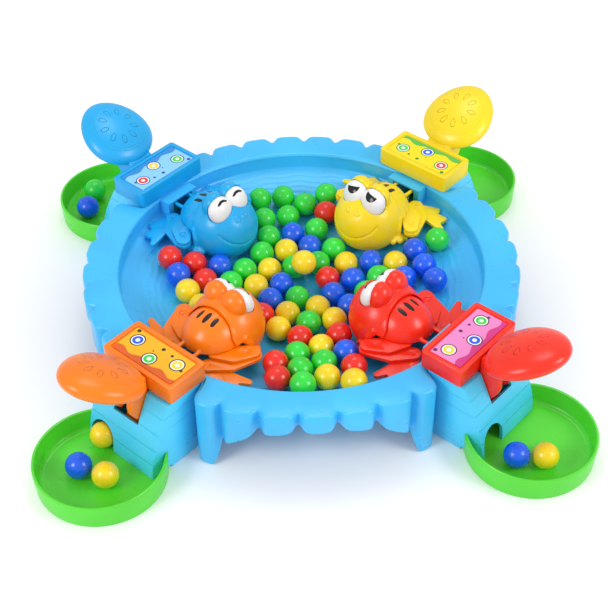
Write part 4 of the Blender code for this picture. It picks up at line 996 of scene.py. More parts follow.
def printed_label(name, ground, band, ink, dots):
    """Glossy printed film: a ground colour, a wavy band, three ringed dots and scattered dots."""
    made, tree = started(name, FILM_LEVELS)
    flat = add(tree, "ShaderNodeUVMap", {"uv_map": "print"}).outputs["UV"]
    parts = add(tree, "ShaderNodeSeparateXYZ", Vector=flat).outputs
    wave = maths(tree, "SINE", maths(tree, "MULTIPLY", parts["X"], 2 * math.pi * BAND_WAVES))
    rise = maths(tree, "MULTIPLY_ADD", wave, BAND_SWING, BAND_HEIGHT)
    below = maths(tree, "LESS_THAN", parts["Y"], rise)
    colour = painted(tree, below, linear(ground), linear(band))
    cells = add(tree, "ShaderNodeTexVoronoi", {"Scale": SPECK_SCALE, "Randomness": SPECK_SPREAD}, Vector=flat)
    speck = maths(tree, "LESS_THAN", cells.outputs["Distance"], SPECK_RADIUS)
    shown = maths(tree, "MULTIPLY", speck, maths(tree, "SUBTRACT", 1, below))
    colour = painted(tree, shown, colour, linear(ink))
    for (x, y), dot in zip(LABEL_RINGS, dots):
        reach = vectors(tree, "DISTANCE", flat, (x, y, 0))
        disks = ((RING_RADIUS + RING_LINE, ink), (RING_RADIUS, WHITE_INK), (RING_RADIUS - RING_LINE, dot))
        for radius, shade in (*disks, (RING_HEART, WHITE_INK)):
            colour = painted(tree, maths(tree, "LESS_THAN", reach, radius), colour, linear(shade))
    return completed(made, Base_Color=colour)


MARBLE_COLOURS = {"red": "#EE2A1E", "green": "#30DC42", "blue": "#1260F0", "yellow": "#FCDC22"}
LABEL_INKS = {
    "yellow": ("#F7E600", "#5FC24A", "#4F8A1E", ("red", "blue", "green")),
    "blue": ("#8FD5FF", "#2F8FE0", "#1E4E9C", ("green", "yellow", "red")),
    "orange": ("#F5B810", "#E2631A", "#3A2A14", ("blue", "green", "yellow")),
    "red": ("#EE8CCB", "#D9348A", "#6A1F58", ("yellow", "blue", "green")),
}
frog_colours = {"yellow": "#FFE01A", "blue": "#14AEF0", "orange": "#FF8000", "red": "#FF2C10"}
frog_abs = {
    station: moulded_abs(f"{station}_abs_moulded", colour) for station, colour in frog_colours.items()
}
labels = {
    station: printed_label(
        f"{station}_label_printed_film", ground, band, ink, [MARBLE_COLOURS[dot] for dot in dots]
    )
    for station, (ground, band, ink, dots) in LABEL_INKS.items()
}
dress_stations(build_plaque(), "plaque_moulding_{}", "base", ["plaque_{}"], frog_abs)
dress_stations(build_label(), "plaque_label_{}", "base", [], labels)

# %% [markdown]
# The lever is one moulding: an egg-shaped paddle on two arms, a hub that turns on trunnions in the
# housing, and a blade below it whose cross pin works in the forks of the frog's tail. Its solids
# are joined as in the CAD model, with finer curves, and melted into one skin.

# %% Lever sizes
PADDLE_CENTRE = (0.1588, 0.0679)
PADDLE_TILT_DEGREES = 25.9
PADDLE_HALF_LENGTH = 0.0243
PADDLE_HALF_WIDTH = 0.0227
PADDLE_CROWN = 0.0095
PADDLE_KEEL = 0.0079
PADDLE_EGG_SHARE = 0.118
PADDLE_SEGMENTS = 64
PADDLE_RINGS = 32
ARM_INNER_HALF_WIDTH = 0.005
ARM_SWEEP_RADIUS = 0.0146
ARM_SWEEP_DEGREES = (-50, 20)
ARM_SWEEP_STEPS = 12
ARM_WEB = 0.0018
BLADE_LENGTH = 0.026
BLADE_LEAN_DEGREES = 20
BLADE_HALF_WIDTH = 0.0046
BLADE_THICKNESS = 0.003
PIN_RADIUS = 0.0015
PIN_HALF_LENGTH = 0.0076
PIN_STEPS = 24
HUB_STEPS = 12
SPRING_WIRE_RADIUS = 0.0004
SPRING_RADIUS = 0.0023
SPRING_TURNS = 3
SPRING_PITCH = 0.0015
SPRING_TAIL = 0.002
SPRING_REACH = (0.0014, -0.0042)
COIL_STEPS = 32
WIRE_STEPS = 12
LUG_WIDTH = 0.002
BLADE_TIP = (
    LEVER_AXIS_RADIUS + BLADE_LENGTH * math.sin(math.radians(BLADE_LEAN_DEGREES)),
    LEVER_AXIS_HEIGHT - BLADE_LENGTH * math.cos(math.radians(BLADE_LEAN_DEGREES)),
)

# %% Lever
def paddle():
    """Egg-shaped ball, tilted and moved to its place."""
    shape = bmesh.new()
    bmesh.ops.create_uvsphere(shape, u_segments=PADDLE_SEGMENTS, v_segments=PADDLE_RINGS, radius=1)
    for vert in shape.verts:
        x, y, z = vert.co
        depth = PADDLE_CROWN if z > 0 else PADDLE_KEEL
        width = PADDLE_HALF_WIDTH * (1 - PADDLE_EGG_SHARE * x)
        vert.co = (x * PADDLE_HALF_LENGTH, y * width, z * depth)
    tilt = Matrix.Rotation(-math.radians(PADDLE_TILT_DEGREES), 4, "Y")
    place = Matrix.Translation((PADDLE_CENTRE[0], 0, PADDLE_CENTRE[1]))
    bmesh.ops.transform(shape, verts=shape.verts, matrix=place @ tilt)
    return new_object("lever", shape)


def blade_outline():
    """Leaning bar from the hub to the cross pin, with a round end."""
    lean = math.radians(BLADE_LEAN_DEGREES)
    x, z = math.cos(lean) * BLADE_THICKNESS / 2, math.sin(lean) * BLADE_THICKNESS / 2
    turn = 180 + BLADE_LEAN_DEGREES
    end = arc(BLADE_TIP, BLADE_THICKNESS / 2 + BLEND, turn, turn + 180, 4)[1:-1]
    (axis_x, axis_z), (tip_x, tip_z) = LEVER_AXIS, BLADE_TIP
    down = [(axis_x - x, axis_z - z), (tip_x - x, tip_z - z)]
    return down + end + [(tip_x + x, tip_z + z), (axis_x + x, axis_z + z)]


def build_lever():
    """Paddle, arms, hub with trunnions, blade and cross pin in one moulding."""
    x, z = LEVER_AXIS
    behind = PLAQUE_BACK_RADIUS + PLAQUE_LENGTH + 2 * GAP
    paddle_end = PADDLE_CENTRE[1] - PADDLE_HALF_LENGTH * math.sin(math.radians(PADDLE_TILT_DEGREES))
    arm = [(x - BLEND, z - HUB_RADIUS / 2)]
    arm += arc(LEVER_AXIS, ARM_SWEEP_RADIUS, *ARM_SWEEP_DEGREES, ARM_SWEEP_STEPS)
    arm += [PADDLE_CENTRE, (behind, paddle_end), (behind, RIM_HEIGHT), (x - BLEND, z + HUB_RADIUS / 2)]
    web = [(behind, z), (behind + ARM_WEB, z), (behind + 2 * ARM_WEB, paddle_end + ARM_WEB)]
    web.append((behind, paddle_end))
    spring_end = RIB_OUTER + (SPRING_TURNS + 1) * SPRING_PITCH
    lug_face = x + SPRING_RADIUS - SPRING_WIRE_RADIUS - GAP
    return join(
        paddle(),
        crossbar("hub", LEVER_AXIS, -HUB_HALF_WIDTH, HUB_HALF_WIDTH, HUB_RADIUS, HUB_STEPS),
        *side_pair("arm", arm, ARM_INNER_HALF_WIDTH, HUB_HALF_WIDTH - BLEND / 2),
        side_prism("web", web, -ARM_INNER_HALF_WIDTH - BLEND, ARM_INNER_HALF_WIDTH + BLEND),
        crossbar("trunnion", LEVER_AXIS, -RIB_OUTER, spring_end, TRUNNION_RADIUS, PIN_STEPS),
        box("lug", (x - LUG_WIDTH / 2, spring_end - BLEND, z - TRUNNION_RADIUS),
            (lug_face, spring_end + LUG_WIDTH, z + TRUNNION_RADIUS)),
        side_prism("blade", blade_outline(), -BLADE_HALF_WIDTH, BLADE_HALF_WIDTH),
        crossbar("pin", BLADE_TIP, -PIN_HALF_LENGTH, PIN_HALF_LENGTH, PIN_RADIUS, PIN_STEPS),
    )


# %% [markdown]
# The paddles carry a soft raised decoration. It is kept generic: a ring that follows the egg's edge and
# a wreath of dots inside it. The pattern follows the paddle, so it is drawn on a UV map that holds each
# point's place on the egg, from -1 to 1 along and across it.

# %% Relief of the paddles
def map_paddle(lever):
    """UV map with the place on the egg: along it and across it."""
    sheet = lever.data.uv_layers.new(name="egg")
    tilt = math.radians(PADDLE_TILT_DEGREES)
    for loop in lever.data.loops:
        spot = lever.data.vertices[loop.vertex_index].co
        dx, dz = spot.x - PADDLE_CENTRE[0], spot.z - PADDLE_CENTRE[1]
        along = (dx * math.cos(tilt) + dz * math.sin(tilt)) / PADDLE_HALF_LENGTH
        over = -dx * math.sin(tilt) + dz * math.cos(tilt)
        across_egg = spot.y / (PADDLE_HALF_WIDTH * (1 - PADDLE_EGG_SHARE * along))
        if over < 0 or abs(along) > 1:
            along, across_egg = 2, 2
        sheet.data[loop.index].uv = (along, across_egg)


EGG_RING = 0.72
EGG_RING_HALF_WIDTH = 0.035
EGG_DOT_COUNT = 9
EGG_DOT_REACH = 0.44
EGG_DOT_FALL = 7
EGG_DOT_EDGE = (0.2, 0.5)
EGG_RELIEF_DEPTH = 0.0009


def egg_relief(tree, place):
    """Height of a ring near the egg's edge and a wreath of dots inside it."""
    flat = add(tree, "ShaderNodeUVMap", {"uv_map": "egg"}).outputs["UV"]
    parts = add(tree, "ShaderNodeSeparateXYZ", Vector=flat).outputs
    reach = vectors(tree, "LENGTH", flat)
    ring = maths(tree, "COMPARE", reach, EGG_RING, EGG_RING_HALF_WIDTH)
    angle = maths(tree, "ARCTAN2", parts["Y"], parts["X"])
    beat = maths(tree, "COSINE", maths(tree, "MULTIPLY", angle, EGG_DOT_COUNT))
    off_ring = maths(tree, "MULTIPLY", maths(tree, "SUBTRACT", reach, EGG_DOT_REACH), EGG_DOT_FALL)
    left = maths(tree, "SUBTRACT", beat, maths(tree, "POWER", off_ring, 2))
    return maths(tree, "MAXIMUM", ring, mapped(tree, left, *EGG_DOT_EDGE, curve="SMOOTHSTEP"))


lever_abs = {
    station: moulded_abs(f"{station}_abs_moulded_with_relief", colour, egg_relief, EGG_RELIEF_DEPTH)
    for station, colour in frog_colours.items()
}
lever = skinned(build_lever())
map_paddle(lever)
dress_stations(lever, "lever_moulding_{}", "lever_{}", ["lever_{}"], lever_abs)

# %% [markdown]
# A torsion spring round the longer trunnion lifts each lever again. A helix is the simplest shape that
# follows a rule, so Geometry Nodes draw it: a spiral curve with two straight tails, swept by the
# wire's round section. The tree has named inputs for the spring's sizes.

# %% Spring of drawn steel wire
STEEL_ROUGHNESS = (0.22, 0.42)
STEEL_COLOURS = ("#B4B7BC", "#D2D5DA")
DRAWN_LINE_SCALE = 4000
SPRING_SMOOTH_DEGREES = 60


def drawn_steel():
    """Bright spring steel. Drawing the wire leaves fine lines along it that blur the reflection."""
    made, tree = started("spring_steel_drawn", {"Metallic": 1})
    lines = noise(tree, add(tree, "ShaderNodeTexCoord").outputs["Object"], DRAWN_LINE_SCALE, 2)
    tint = tinted(tree, lines, [linear(colour) for colour in STEEL_COLOURS])
    return completed(made, Base_Color=tint, Roughness=mapped(tree, lines, 0, 1, *STEEL_ROUGHNESS))


def tree_with(name, sizes):
    """Geometry node tree with a mesh in and out and named number inputs."""
    tree = bpy.data.node_groups.new(name, "GeometryNodeTree")
    tree.interface.new_socket("Geometry", in_out="INPUT", socket_type="NodeSocketGeometry")
    tree.interface.new_socket("Geometry", in_out="OUTPUT", socket_type="NodeSocketGeometry")
    for label, kind in sizes:
        tree.interface.new_socket(label, in_out="INPUT", socket_type=kind)
    return tree


def grown(name, tree, values, mesh=None):
    """Object whose mesh the tree makes, with the inputs set by their sockets' identifiers."""
    piece = bpy.data.objects.new(name, mesh or bpy.data.meshes.new(name))
    bpy.context.collection.objects.link(piece)
    modifier = piece.modifiers.new(name, "NODES")
    modifier.node_group = tree
    for socket in tree.interface.items_tree:
        if socket.in_out == "INPUT" and socket.name in values:
            modifier[socket.identifier] = values[socket.name]
    return settled(piece)


def spring_tree(finish):
    """Helix about Y with two tails, swept by a round wire."""
    number, vector = "NodeSocketFloat", "NodeSocketVector"
    tree = tree_with("torsion_spring", [
        ("Turns", number), ("Coil Radius", number), ("Pitch", number), ("Wire Radius", number),
        ("Start", vector), ("First Tail", vector), ("Last Tail", vector),
    ])
    given = add(tree, "NodeGroupInput").outputs
    coil = given["Coil Radius"]
    height = maths(tree, "MULTIPLY", given["Turns"], given["Pitch"])
    spiral = add(
        tree, "GeometryNodeCurveSpiral", {"Resolution": COIL_STEPS}, Rotations=given["Turns"],
        Start_Radius=coil, End_Radius=coil, Height=height,
    )
    laid = add(
        tree, "GeometryNodeTransform", {"Rotation": (-math.pi / 2, 0, 0)}, Geometry=spiral.outputs["Curve"],
        Translation=given["Start"],
    )
    out = add(tree, "ShaderNodeCombineXYZ", X=coil).outputs["Vector"]
    along = add(tree, "ShaderNodeCombineXYZ", Y=height).outputs["Vector"]
    start = vectors(tree, "ADD", given["Start"], out, out="Vector")
    end = vectors(tree, "ADD", start, along, out="Vector")
    joined = add(tree, "GeometryNodeJoinGeometry", Geometry=laid.outputs["Geometry"])
    for root, tail in ((start, "First Tail"), (end, "Last Tail")):
        tip = vectors(tree, "ADD", root, given[tail], out="Vector")
        line = add(tree, "GeometryNodeCurvePrimitiveLine", Start=root, End=tip)
        tree.links.new(line.outputs["Curve"], joined.inputs["Geometry"])
    thickness = given["Wire Radius"]
    section = add(tree, "GeometryNodeCurvePrimitiveCircle", {"Resolution": WIRE_STEPS}, Radius=thickness)
    wire = add(
        tree, "GeometryNodeCurveToMesh", {"Fill Caps": True}, Curve=joined.outputs["Geometry"],
        Profile_Curve=section.outputs["Curve"],
    )
    real = add(tree, "GeometryNodeRealizeInstances", Geometry=wire.outputs["Mesh"])
    dressed = add(tree, "GeometryNodeSetMaterial", {"Material": finish}, Geometry=real.outputs["Geometry"])
    add(tree, "NodeGroupOutput", Geometry=dressed.outputs["Geometry"])
    return tree


steel = drawn_steel()
coil_start = RIB_OUTER + 2 * SPRING_WIRE_RADIUS
spring = grown("spring", spring_tree(steel), {
    "Turns": float(SPRING_TURNS), "Coil Radius": SPRING_RADIUS, "Pitch": SPRING_PITCH,
    "Wire Radius": SPRING_WIRE_RADIUS, "Start": (LEVER_AXIS_RADIUS, coil_start, LEVER_AXIS_HEIGHT),
    "First Tail": (SPRING_REACH[0], 0, SPRING_REACH[1]), "Last Tail": (0, SPRING_TAIL, 0),
})
smooth(spring, SPRING_SMOOTH_DEGREES)
dress_stations(spring, "spring_wire_{}", "lever_{}", ["spring_{}"], steel)

# %% [markdown]
# The frog's body is a hollow dome over the chute. Three slots along its back open into it, and two
# rails run from under it through the doorway to the forks on the lever's pin. The slots are cut
# through the dome, and painted shade fills them: dark pieces, the same prisms cut to a slightly
# smaller dome, stand in for the shade inside the hollow body.

# %% Body sizes
BODY_AXIS_RADIUS = 0.075
BODY_AXIS_HEIGHT = 0.036
BODY_DOME_RADIUS = 0.0215
BODY_HALF_WIDTH = 0.0189
BODY_RIM_HEIGHT = 0.0421
BODY_FRONT_RADIUS = 0.067
BODY_SEGMENTS = 64
BODY_RINGS = 32
HOLLOW_SEGMENTS = 48
HOLLOW_RINGS = 24
RAIL_INNER = 0.005
RAIL_OUTER = 0.007
RAIL_TOP = 0.0444
RAIL_DEPTH = 0.0022
RAIL_ROOT_RADIUS = 0.086
RAIL_BEND_RADIUS = 0.113
RAIL_KNEE = (0.128, 0.031)
FORK_HALF_LENGTH = 0.0039
FORK_TOP = 0.0215
FORK_BOTTOM = 0.0132
FORK_PLAY = 0.00035
HIP_BOSS_RADIUS = 0.0028
COLLAR_WALL = 0.0014
COLLAR_GAP = 0.0007
NECK_RADIUS = 0.075
NECK_HEIGHT = 0.046
NECK_PIN_RADIUS = 0.0015
NECK_PIN_SKIN = 0.0006
BODY_CENTRE = (BODY_AXIS_RADIUS, 0, BODY_AXIS_HEIGHT)
BODY_SIZE = Vector((BODY_DOME_RADIUS, BODY_HALF_WIDTH, BODY_DOME_RADIUS))
# Slots of the back: (middle, distance aside, half the length, half the width)
BACK_SLOTS = (
    (0.0802, 0, 0.0040, 0.0015), (0.0798, 0.0054, 0.0034, 0.0013), (0.0798, -0.0054, 0.0034, 0.0013)
)
BACK_SLOT_STEPS = 24
# The dark pieces of painted shade in the slots lie a little below the dome
SLOT_SHADE_SUNK = 0.0006
SLOT_SHADE_BOTTOM = 0.0530

# %% Body
def even(width):
    """The same width in all three directions."""
    return Vector((width, width, width))


def dome(name, size, segments=BODY_SEGMENTS, rings=BODY_RINGS):
    """Ball round the body's middle, with its poles across the station."""
    return ball(name, BODY_CENTRE, size, segments, rings, "Y")


def neck_half_width():
    """Half-width of the collar's inside at the neck pins."""
    rise = (NECK_HEIGHT - BODY_AXIS_HEIGHT) / (BODY_DOME_RADIUS + COLLAR_GAP)
    return (BODY_HALF_WIDTH + COLLAR_GAP) * math.sqrt(1 - rise ** 2)


def rail_outline():
    """Tail rail from its root in the dome, over a knee, to the fork round the lever's pin."""
    bottom = RAIL_TOP - RAIL_DEPTH
    tip_x = BLADE_TIP[0]
    knee_x, knee_z = RAIL_KNEE
    back, front = tip_x - FORK_HALF_LENGTH, tip_x + FORK_HALF_LENGTH
    slot_half = PIN_RADIUS + FORK_PLAY
    slot_top = BLADE_TIP[1] + PIN_RADIUS + 2 * FORK_PLAY
    return [
        (RAIL_ROOT_RADIUS, bottom), (RAIL_BEND_RADIUS, bottom), (knee_x - RAIL_DEPTH, knee_z - RAIL_DEPTH),
        (back, FORK_TOP - RAIL_DEPTH), (back, FORK_BOTTOM), (tip_x - slot_half, FORK_BOTTOM),
        (tip_x - slot_half, slot_top), (tip_x + slot_half, slot_top), (tip_x + slot_half, FORK_BOTTOM),
        (front, FORK_BOTTOM), (front, FORK_TOP), (back + RAIL_DEPTH, FORK_TOP), (knee_x, knee_z),
        (RAIL_BEND_RADIUS + RAIL_DEPTH / 2, RAIL_TOP), (RAIL_ROOT_RADIUS, RAIL_TOP),
    ]


def body_pins(side):
    """Hip boss, hip pin and neck pin on one side."""
    x, y = spot = (HIP[0], side * HIP[1])
    inner_dome = BODY_AXIS_HEIGHT + (BODY_SIZE.z - SHELL_WALL / 2) * math.sqrt(
        1 - ((x - BODY_AXIS_RADIUS) / BODY_SIZE.x) ** 2 - (y / BODY_SIZE.y) ** 2
    )
    skin = side * (neck_half_width() + COLLAR_WALL - NECK_PIN_SKIN - GAP)
    inside = side * (neck_half_width() - SHELL_WALL - COLLAR_GAP)
    return [
        upright("hip_boss", spot, BODY_RIM_HEIGHT, inner_dome - SHELL_WALL, HIP_BOSS_RADIUS, LEG_PIN_STEPS),
        upright("hip_pin", spot, THIGH_HEIGHT + GAP, inner_dome, LEG_PIN_RADIUS, LEG_PIN_STEPS),
        crossbar("neck_pin", (NECK_RADIUS, NECK_HEIGHT), inside, skin, NECK_PIN_RADIUS, LEG_PIN_STEPS),
    ]


def build_body():
    """Hollow dome over the chute, with hip pins, neck pins and forked tail rails."""
    hollow = dome("hollow", BODY_SIZE - even(SHELL_WALL), HOLLOW_SEGMENTS + 2, HOLLOW_RINGS)
    far = BODY_AXIS_RADIUS + BODY_DOME_RADIUS + OVERRUN
    near = BODY_AXIS_RADIUS - BODY_DOME_RADIUS - OVERRUN
    side = BODY_HALF_WIDTH + OVERRUN
    low = BODY_AXIS_HEIGHT - BODY_DOME_RADIUS - OVERRUN
    high = BODY_AXIS_HEIGHT + BODY_DOME_RADIUS + OVERRUN
    below = box("below", (near, -side, low), (far, side, BODY_RIM_HEIGHT))
    front = box("front", (near, -side, low), (BODY_FRONT_RADIUS, side, high))
    body = cut(dome("body", BODY_SIZE), hollow, below, front)
    rails = side_pair("rail", rail_outline(), RAIL_INNER, RAIL_OUTER)
    return join(body, *rails, *[pin for side in SIDES.values() for pin in body_pins(side)])


def back_slot(middle, aside, half_length, half_width):
    """Cutter for a leaf-shaped slot through the dome."""
    outline = []
    for step in range(BACK_SLOT_STEPS):
        turn = 2 * math.pi * step / BACK_SLOT_STEPS
        outline.append((middle + half_length * math.cos(turn), aside + half_width * math.sin(turn)))
    low, high = BODY_AXIS_HEIGHT + BODY_DOME_RADIUS / 2, BODY_AXIS_HEIGHT + BODY_DOME_RADIUS * 2
    return plate("slot", outline, low, high)


body = cut(build_body(), *[back_slot(*slot) for slot in BACK_SLOTS])
dress_stations(skinned(body), "frog_body_moulding_{}", "frog_{}", ["frog_body_{}"], frog_abs)

# %% Painted shade in the slots of the back
def build_inlays():
    """Painted shade: three dark pieces that fill the slots just below the dome, in place of the shade inside.
    """
    shade_fill = join(*[back_slot(*slot) for slot in BACK_SLOTS])
    combined(shade_fill, dome("sunk_dome", BODY_SIZE - even(SLOT_SHADE_SUNK)), "INTERSECT")
    wide = BODY_HALF_WIDTH
    low, high = (BODY_FRONT_RADIUS, -wide, BODY_AXIS_HEIGHT), (BODY_AXIS_RADIUS + wide, wide, SLOT_SHADE_BOTTOM)
    return smooth(cut(shade_fill, box("below", low, high)))


# The dark colour is painted shade: it stands for the shade inside the hollow body under the slots
slot_shade_abs = moulded_abs("black_abs_moulded", "#1A1412")
dress_stations(build_inlays(), "back_inlays_{}", "frog_{}", [], slot_shade_abs)

# %% [markdown]
# The head is an egg with two eye domes. Its back edge laps over the body as a collar and runs down
# on both sides into short arms with three-toed hands. The solids are melted into one skin first.
# The smile and the nostrils are finer than that skin's fillets, so they are pressed in afterwards by
# moving the skin's points.

# %% Head sizes
HEAD_CENTRE_RADIUS = 0.0648
HEAD_CENTRE_HEIGHT = 0.0401
HEAD_HALF_LENGTH = 0.022
HEAD_HALF_WIDTH = 0.0217
HEAD_HALF_HEIGHT = 0.022
HEAD_WALL = 0.0022
HEAD_SEGMENTS = 64
HEAD_RINGS = 32
CHIN_HEIGHT = 0.0283
HEAD_BACK_EDGE = (
    (0.0560, 0.0283), (0.0680, 0.0320), (0.0680, 0.0432), (0.0774, 0.0438), (0.0779, 0.048), (0.0752, 0.054),
    (0.0735, 0.062),
)
HEAD_VOXEL = 0.0004
HEAD_SKIN_SHARE = 0.7
EYE_DOME_CENTRE = (0.0648, 0.0065, 0.0594)
EYE_DOME_SIZE = (0.0070, 0.0082, 0.0090)
EYE_CENTRE = (0.0597, 0.0067, 0.0582)
EYE_SIZE = (0.0062, 0.0084, 0.0090)
EYE_SEGMENTS = 48
EYE_RINGS = 24
EYE_LEAN_DEGREES = 20
EYE_GAP = 0.00035
# Arm and toes: (distance from the arena's middle, distance aside, height), radius
ARM = (
    ((0.0705, 0.0188, 0.0452), 0.0024), ((0.0680, 0.0204, 0.0400), 0.0025),
    ((0.0676, 0.0206, 0.0345), 0.0028),
)
TOES = (
    ((0.0627, 0.0214, 0.0330), 0.0020), ((0.0664, 0.0241, 0.0330), 0.0020),
    ((0.0708, 0.0246, 0.0326), 0.0019),
)

# %% Head
def eye_ball(name, side, growth):
    """One eye, leaning back, grown by a gap where it is used as a cutter."""
    eye = ball(name, (0, 0, 0), Vector(EYE_SIZE) + even(growth), EYE_SEGMENTS, EYE_RINGS)
    lean = Matrix.Rotation(math.radians(EYE_LEAN_DEGREES), 4, "Y")
    eye.data.transform(Matrix.Translation(beside(EYE_CENTRE, side)) @ lean)
    return eye


def head_trims():
    """Cutters for the back edge, the open underside and the sockets of the neck pins."""
    wide = HEAD_HALF_WIDTH + OVERRUN
    near = HEAD_CENTRE_RADIUS - HEAD_HALF_LENGTH - OVERRUN
    far = BODY_AXIS_RADIUS + BODY_DOME_RADIUS + 2 * OVERRUN
    low = BODY_AXIS_HEIGHT - BODY_DOME_RADIUS - COLLAR_GAP - COLLAR_WALL - OVERRUN
    back = [(HEAD_BACK_EDGE[0][0], low), (far, low), (far, HEAD_BACK_EDGE[-1][1]), *reversed(HEAD_BACK_EDGE)]
    inside = neck_half_width() - SHELL_WALL
    socket_end = neck_half_width() + COLLAR_WALL - NECK_PIN_SKIN
    spot, radius, steps = (NECK_RADIUS, NECK_HEIGHT), NECK_PIN_RADIUS + GAP, LEG_PIN_STEPS * 2
    sockets = [
        crossbar("neck_socket", spot, side * inside, side * socket_end, radius, steps)
        for side in SIDES.values()
    ]
    below = box("below", (near, -wide, low), (far, wide, CHIN_HEIGHT))
    return [side_prism("back", back, -wide, wide), below, *sockets]


def build_head():
    """Hollow head, open below, with eye domes, a collar that laps over the body, arms and hands."""
    centre = (HEAD_CENTRE_RADIUS, 0, HEAD_CENTRE_HEIGHT)
    size = Vector((HEAD_HALF_LENGTH, HEAD_HALF_WIDTH, HEAD_HALF_HEIGHT))
    lap_radius = BODY_DOME_RADIUS + COLLAR_GAP
    lap = Vector((lap_radius, BODY_HALF_WIDTH + COLLAR_GAP, lap_radius))
    head = ball("head", centre, size, HEAD_SEGMENTS, HEAD_RINGS)
    join(head, dome("collar", lap + even(COLLAR_WALL)))
    for side in SIDES.values():
        join(head, ball("eye_dome", beside(EYE_DOME_CENTRE, side), EYE_DOME_SIZE, EYE_SEGMENTS, EYE_RINGS))
    cut(head, ball("hollow", centre, size - even(HEAD_WALL), HOLLOW_SEGMENTS, HOLLOW_RINGS), dome("lap", lap))
    cut(head, eye_ball("socket", 1, EYE_GAP), eye_ball("socket", -1, EYE_GAP), *head_trims())
    for side in SIDES.values():
        arm = [(beside(point, side), radius) for point, radius in ARM]
        join(head, *limb("arm", arm))
        for point, radius in TOES:
            join(head, *limb("toe", [arm[-1], (beside(point, side), radius)]))
    return head


# %% Smile and nostrils
SMILE_REACH_DEGREES = 52
SMILE_LOW_DEGREES = -5
SMILE_BEND = 0.0095
SMILE_DEPTH = 0.0008
SMILE_WIDTH = 0.0007
NOSTRIL = (0.0488, 0.0031, 0.0548)
NOSTRIL_RING = 0.0014
NOSTRIL_RAISE = 0.0006
SMILE_STEP_DEGREES = 2


def press_face(head):
    """Press the smile into the head's skin and raise the rims of the nostrils."""
    centre = Vector((HEAD_CENTRE_RADIUS, 0, HEAD_CENTRE_HEIGHT))
    smile = []
    for degrees in range(-SMILE_REACH_DEGREES, SMILE_REACH_DEGREES + 1, SMILE_STEP_DEGREES):
        level = math.radians(SMILE_LOW_DEGREES + SMILE_BEND * degrees ** 2)
        x, y = polar(HEAD_HALF_LENGTH * math.cos(level), degrees)
        smile.append(centre + Vector((-x, y, HEAD_HALF_LENGTH * math.sin(level))))
    nostrils = [beside(NOSTRIL, side) for side in SIDES.values()]
    for vert in head.data.vertices:
        out = vert.co - centre
        if out.x > 0 or out.length < HEAD_HALF_LENGTH - HEAD_WALL / 2:
            continue
        near = min((vert.co - point).length for point in smile)
        move = -SMILE_DEPTH * math.exp(-(near / SMILE_WIDTH) ** 2)
        for nostril in nostrils:
            ring = (vert.co - nostril).length - NOSTRIL_RING
            move += NOSTRIL_RAISE * math.exp(-(ring / (NOSTRIL_RING / 3)) ** 2)
        vert.co += out.normalized() * move
    return head


head = press_face(skinned(build_head(), voxel=HEAD_VOXEL, share=HEAD_SKIN_SHARE))
dress_stations(head, "frog_head_moulding_{}", "head_{}", ["frog_head_{}"], frog_abs)

# %% [markdown]
# Both eyes are one glossy white insert. Each pupil is printed on it: happy arcs on the blue frog,
# half-closed pupils on the others. The print follows the eye, so a UV map holds each point's place
# on its own eyeball in half-widths, and simple maths draws the arc or the lidded disk on it.

# %% Eyes
EYE_LEVELS = {"IOR": ABS_IOR, "Roughness": 0.18}
EYE_WHITE = "#F4F5F7"
PUPIL_BLACK = "#0B0B0D"
ARC_MIDDLE = (-0.01, 0.15, 0)
ARC_RADIUS = 0.57
ARC_HALF_WIDTH = 0.075
ARC_LOW_END = 0.55
PUPIL_MIDDLE = (0.06, 0.66, 0)
PUPIL_RADIUS = 0.48
LID_SLOPE = -0.2
LID_HEIGHT = 0.68
# Points on the back of an eye get a place far off the print
UNSEEN = 5


def build_eyes():
    """Both eyes, with a UV map of each one's own face."""
    eyes = eye_ball("eyes", 1, 0)
    other = eye_ball("eye", -1, 0)
    shape = bmesh.new()
    shape.from_mesh(eyes.data)
    shape.from_mesh(other.data)
    sheet = shape.loops.layers.uv.new("face")
    lean = Matrix.Rotation(-math.radians(EYE_LEAN_DEGREES), 3, "Y")
    for face in shape.faces:
        side = 1 if face.calc_center_median().y > 0 else -1
        for loop in face.loops:
            spot = lean @ (loop.vert.co - beside(EYE_CENTRE, side))
            seen = 1 if spot.x < 0 else UNSEEN
            loop[sheet].uv = (seen * side * spot.y / EYE_SIZE[1], spot.z / EYE_SIZE[2])
    shape.to_mesh(eyes.data)
    shape.free()
    bpy.data.objects.remove(other)
    eyes.data.shade_smooth()
    return eyes


def eye_print(name, happy):
    """Glossy white insert with a printed pupil: an arc if the frog is happy, a lidded disk if not."""
    made, tree = started(name, EYE_LEVELS)
    flat = add(tree, "ShaderNodeUVMap", {"uv_map": "face"}).outputs["UV"]
    parts = add(tree, "ShaderNodeSeparateXYZ", Vector=flat).outputs
    reach = vectors(tree, "DISTANCE", flat, ARC_MIDDLE if happy else PUPIL_MIDDLE)
    if happy:
        shape = maths(tree, "COMPARE", reach, ARC_RADIUS, ARC_HALF_WIDTH)
        shown = maths(tree, "GREATER_THAN", parts["Y"], ARC_LOW_END)
    else:
        shape = maths(tree, "LESS_THAN", reach, PUPIL_RADIUS)
        lid = maths(tree, "MULTIPLY_ADD", parts["X"], LID_SLOPE, LID_HEIGHT)
        shown = maths(tree, "LESS_THAN", parts["Y"], lid)
    mask = maths(tree, "MULTIPLY", shape, shown)
    return completed(made, Base_Color=painted(tree, mask, linear(EYE_WHITE), linear(PUPIL_BLACK)))


happy_eyes = eye_print("white_abs_with_arc_print", True)
lidded_eyes = eye_print("white_abs_with_lidded_print", False)
eye_finishes = {station: happy_eyes if station == "blue" else lidded_eyes for station in STATION_DEGREES}
dress_stations(build_eyes(), "frog_eyes_moulding_{}", "head_{}", ["frog_eyes_{}"], eye_finishes)

# %% [markdown]
# The legs are flat leaves on pins. The shin leaf carries the webbed foot one step lower, and the thigh
# leaf lies on top, with a dimple round its knee pin. Outlines drawn tight round circles give the
# leaves, and a small bevel gives them the soft edge that catches the light.

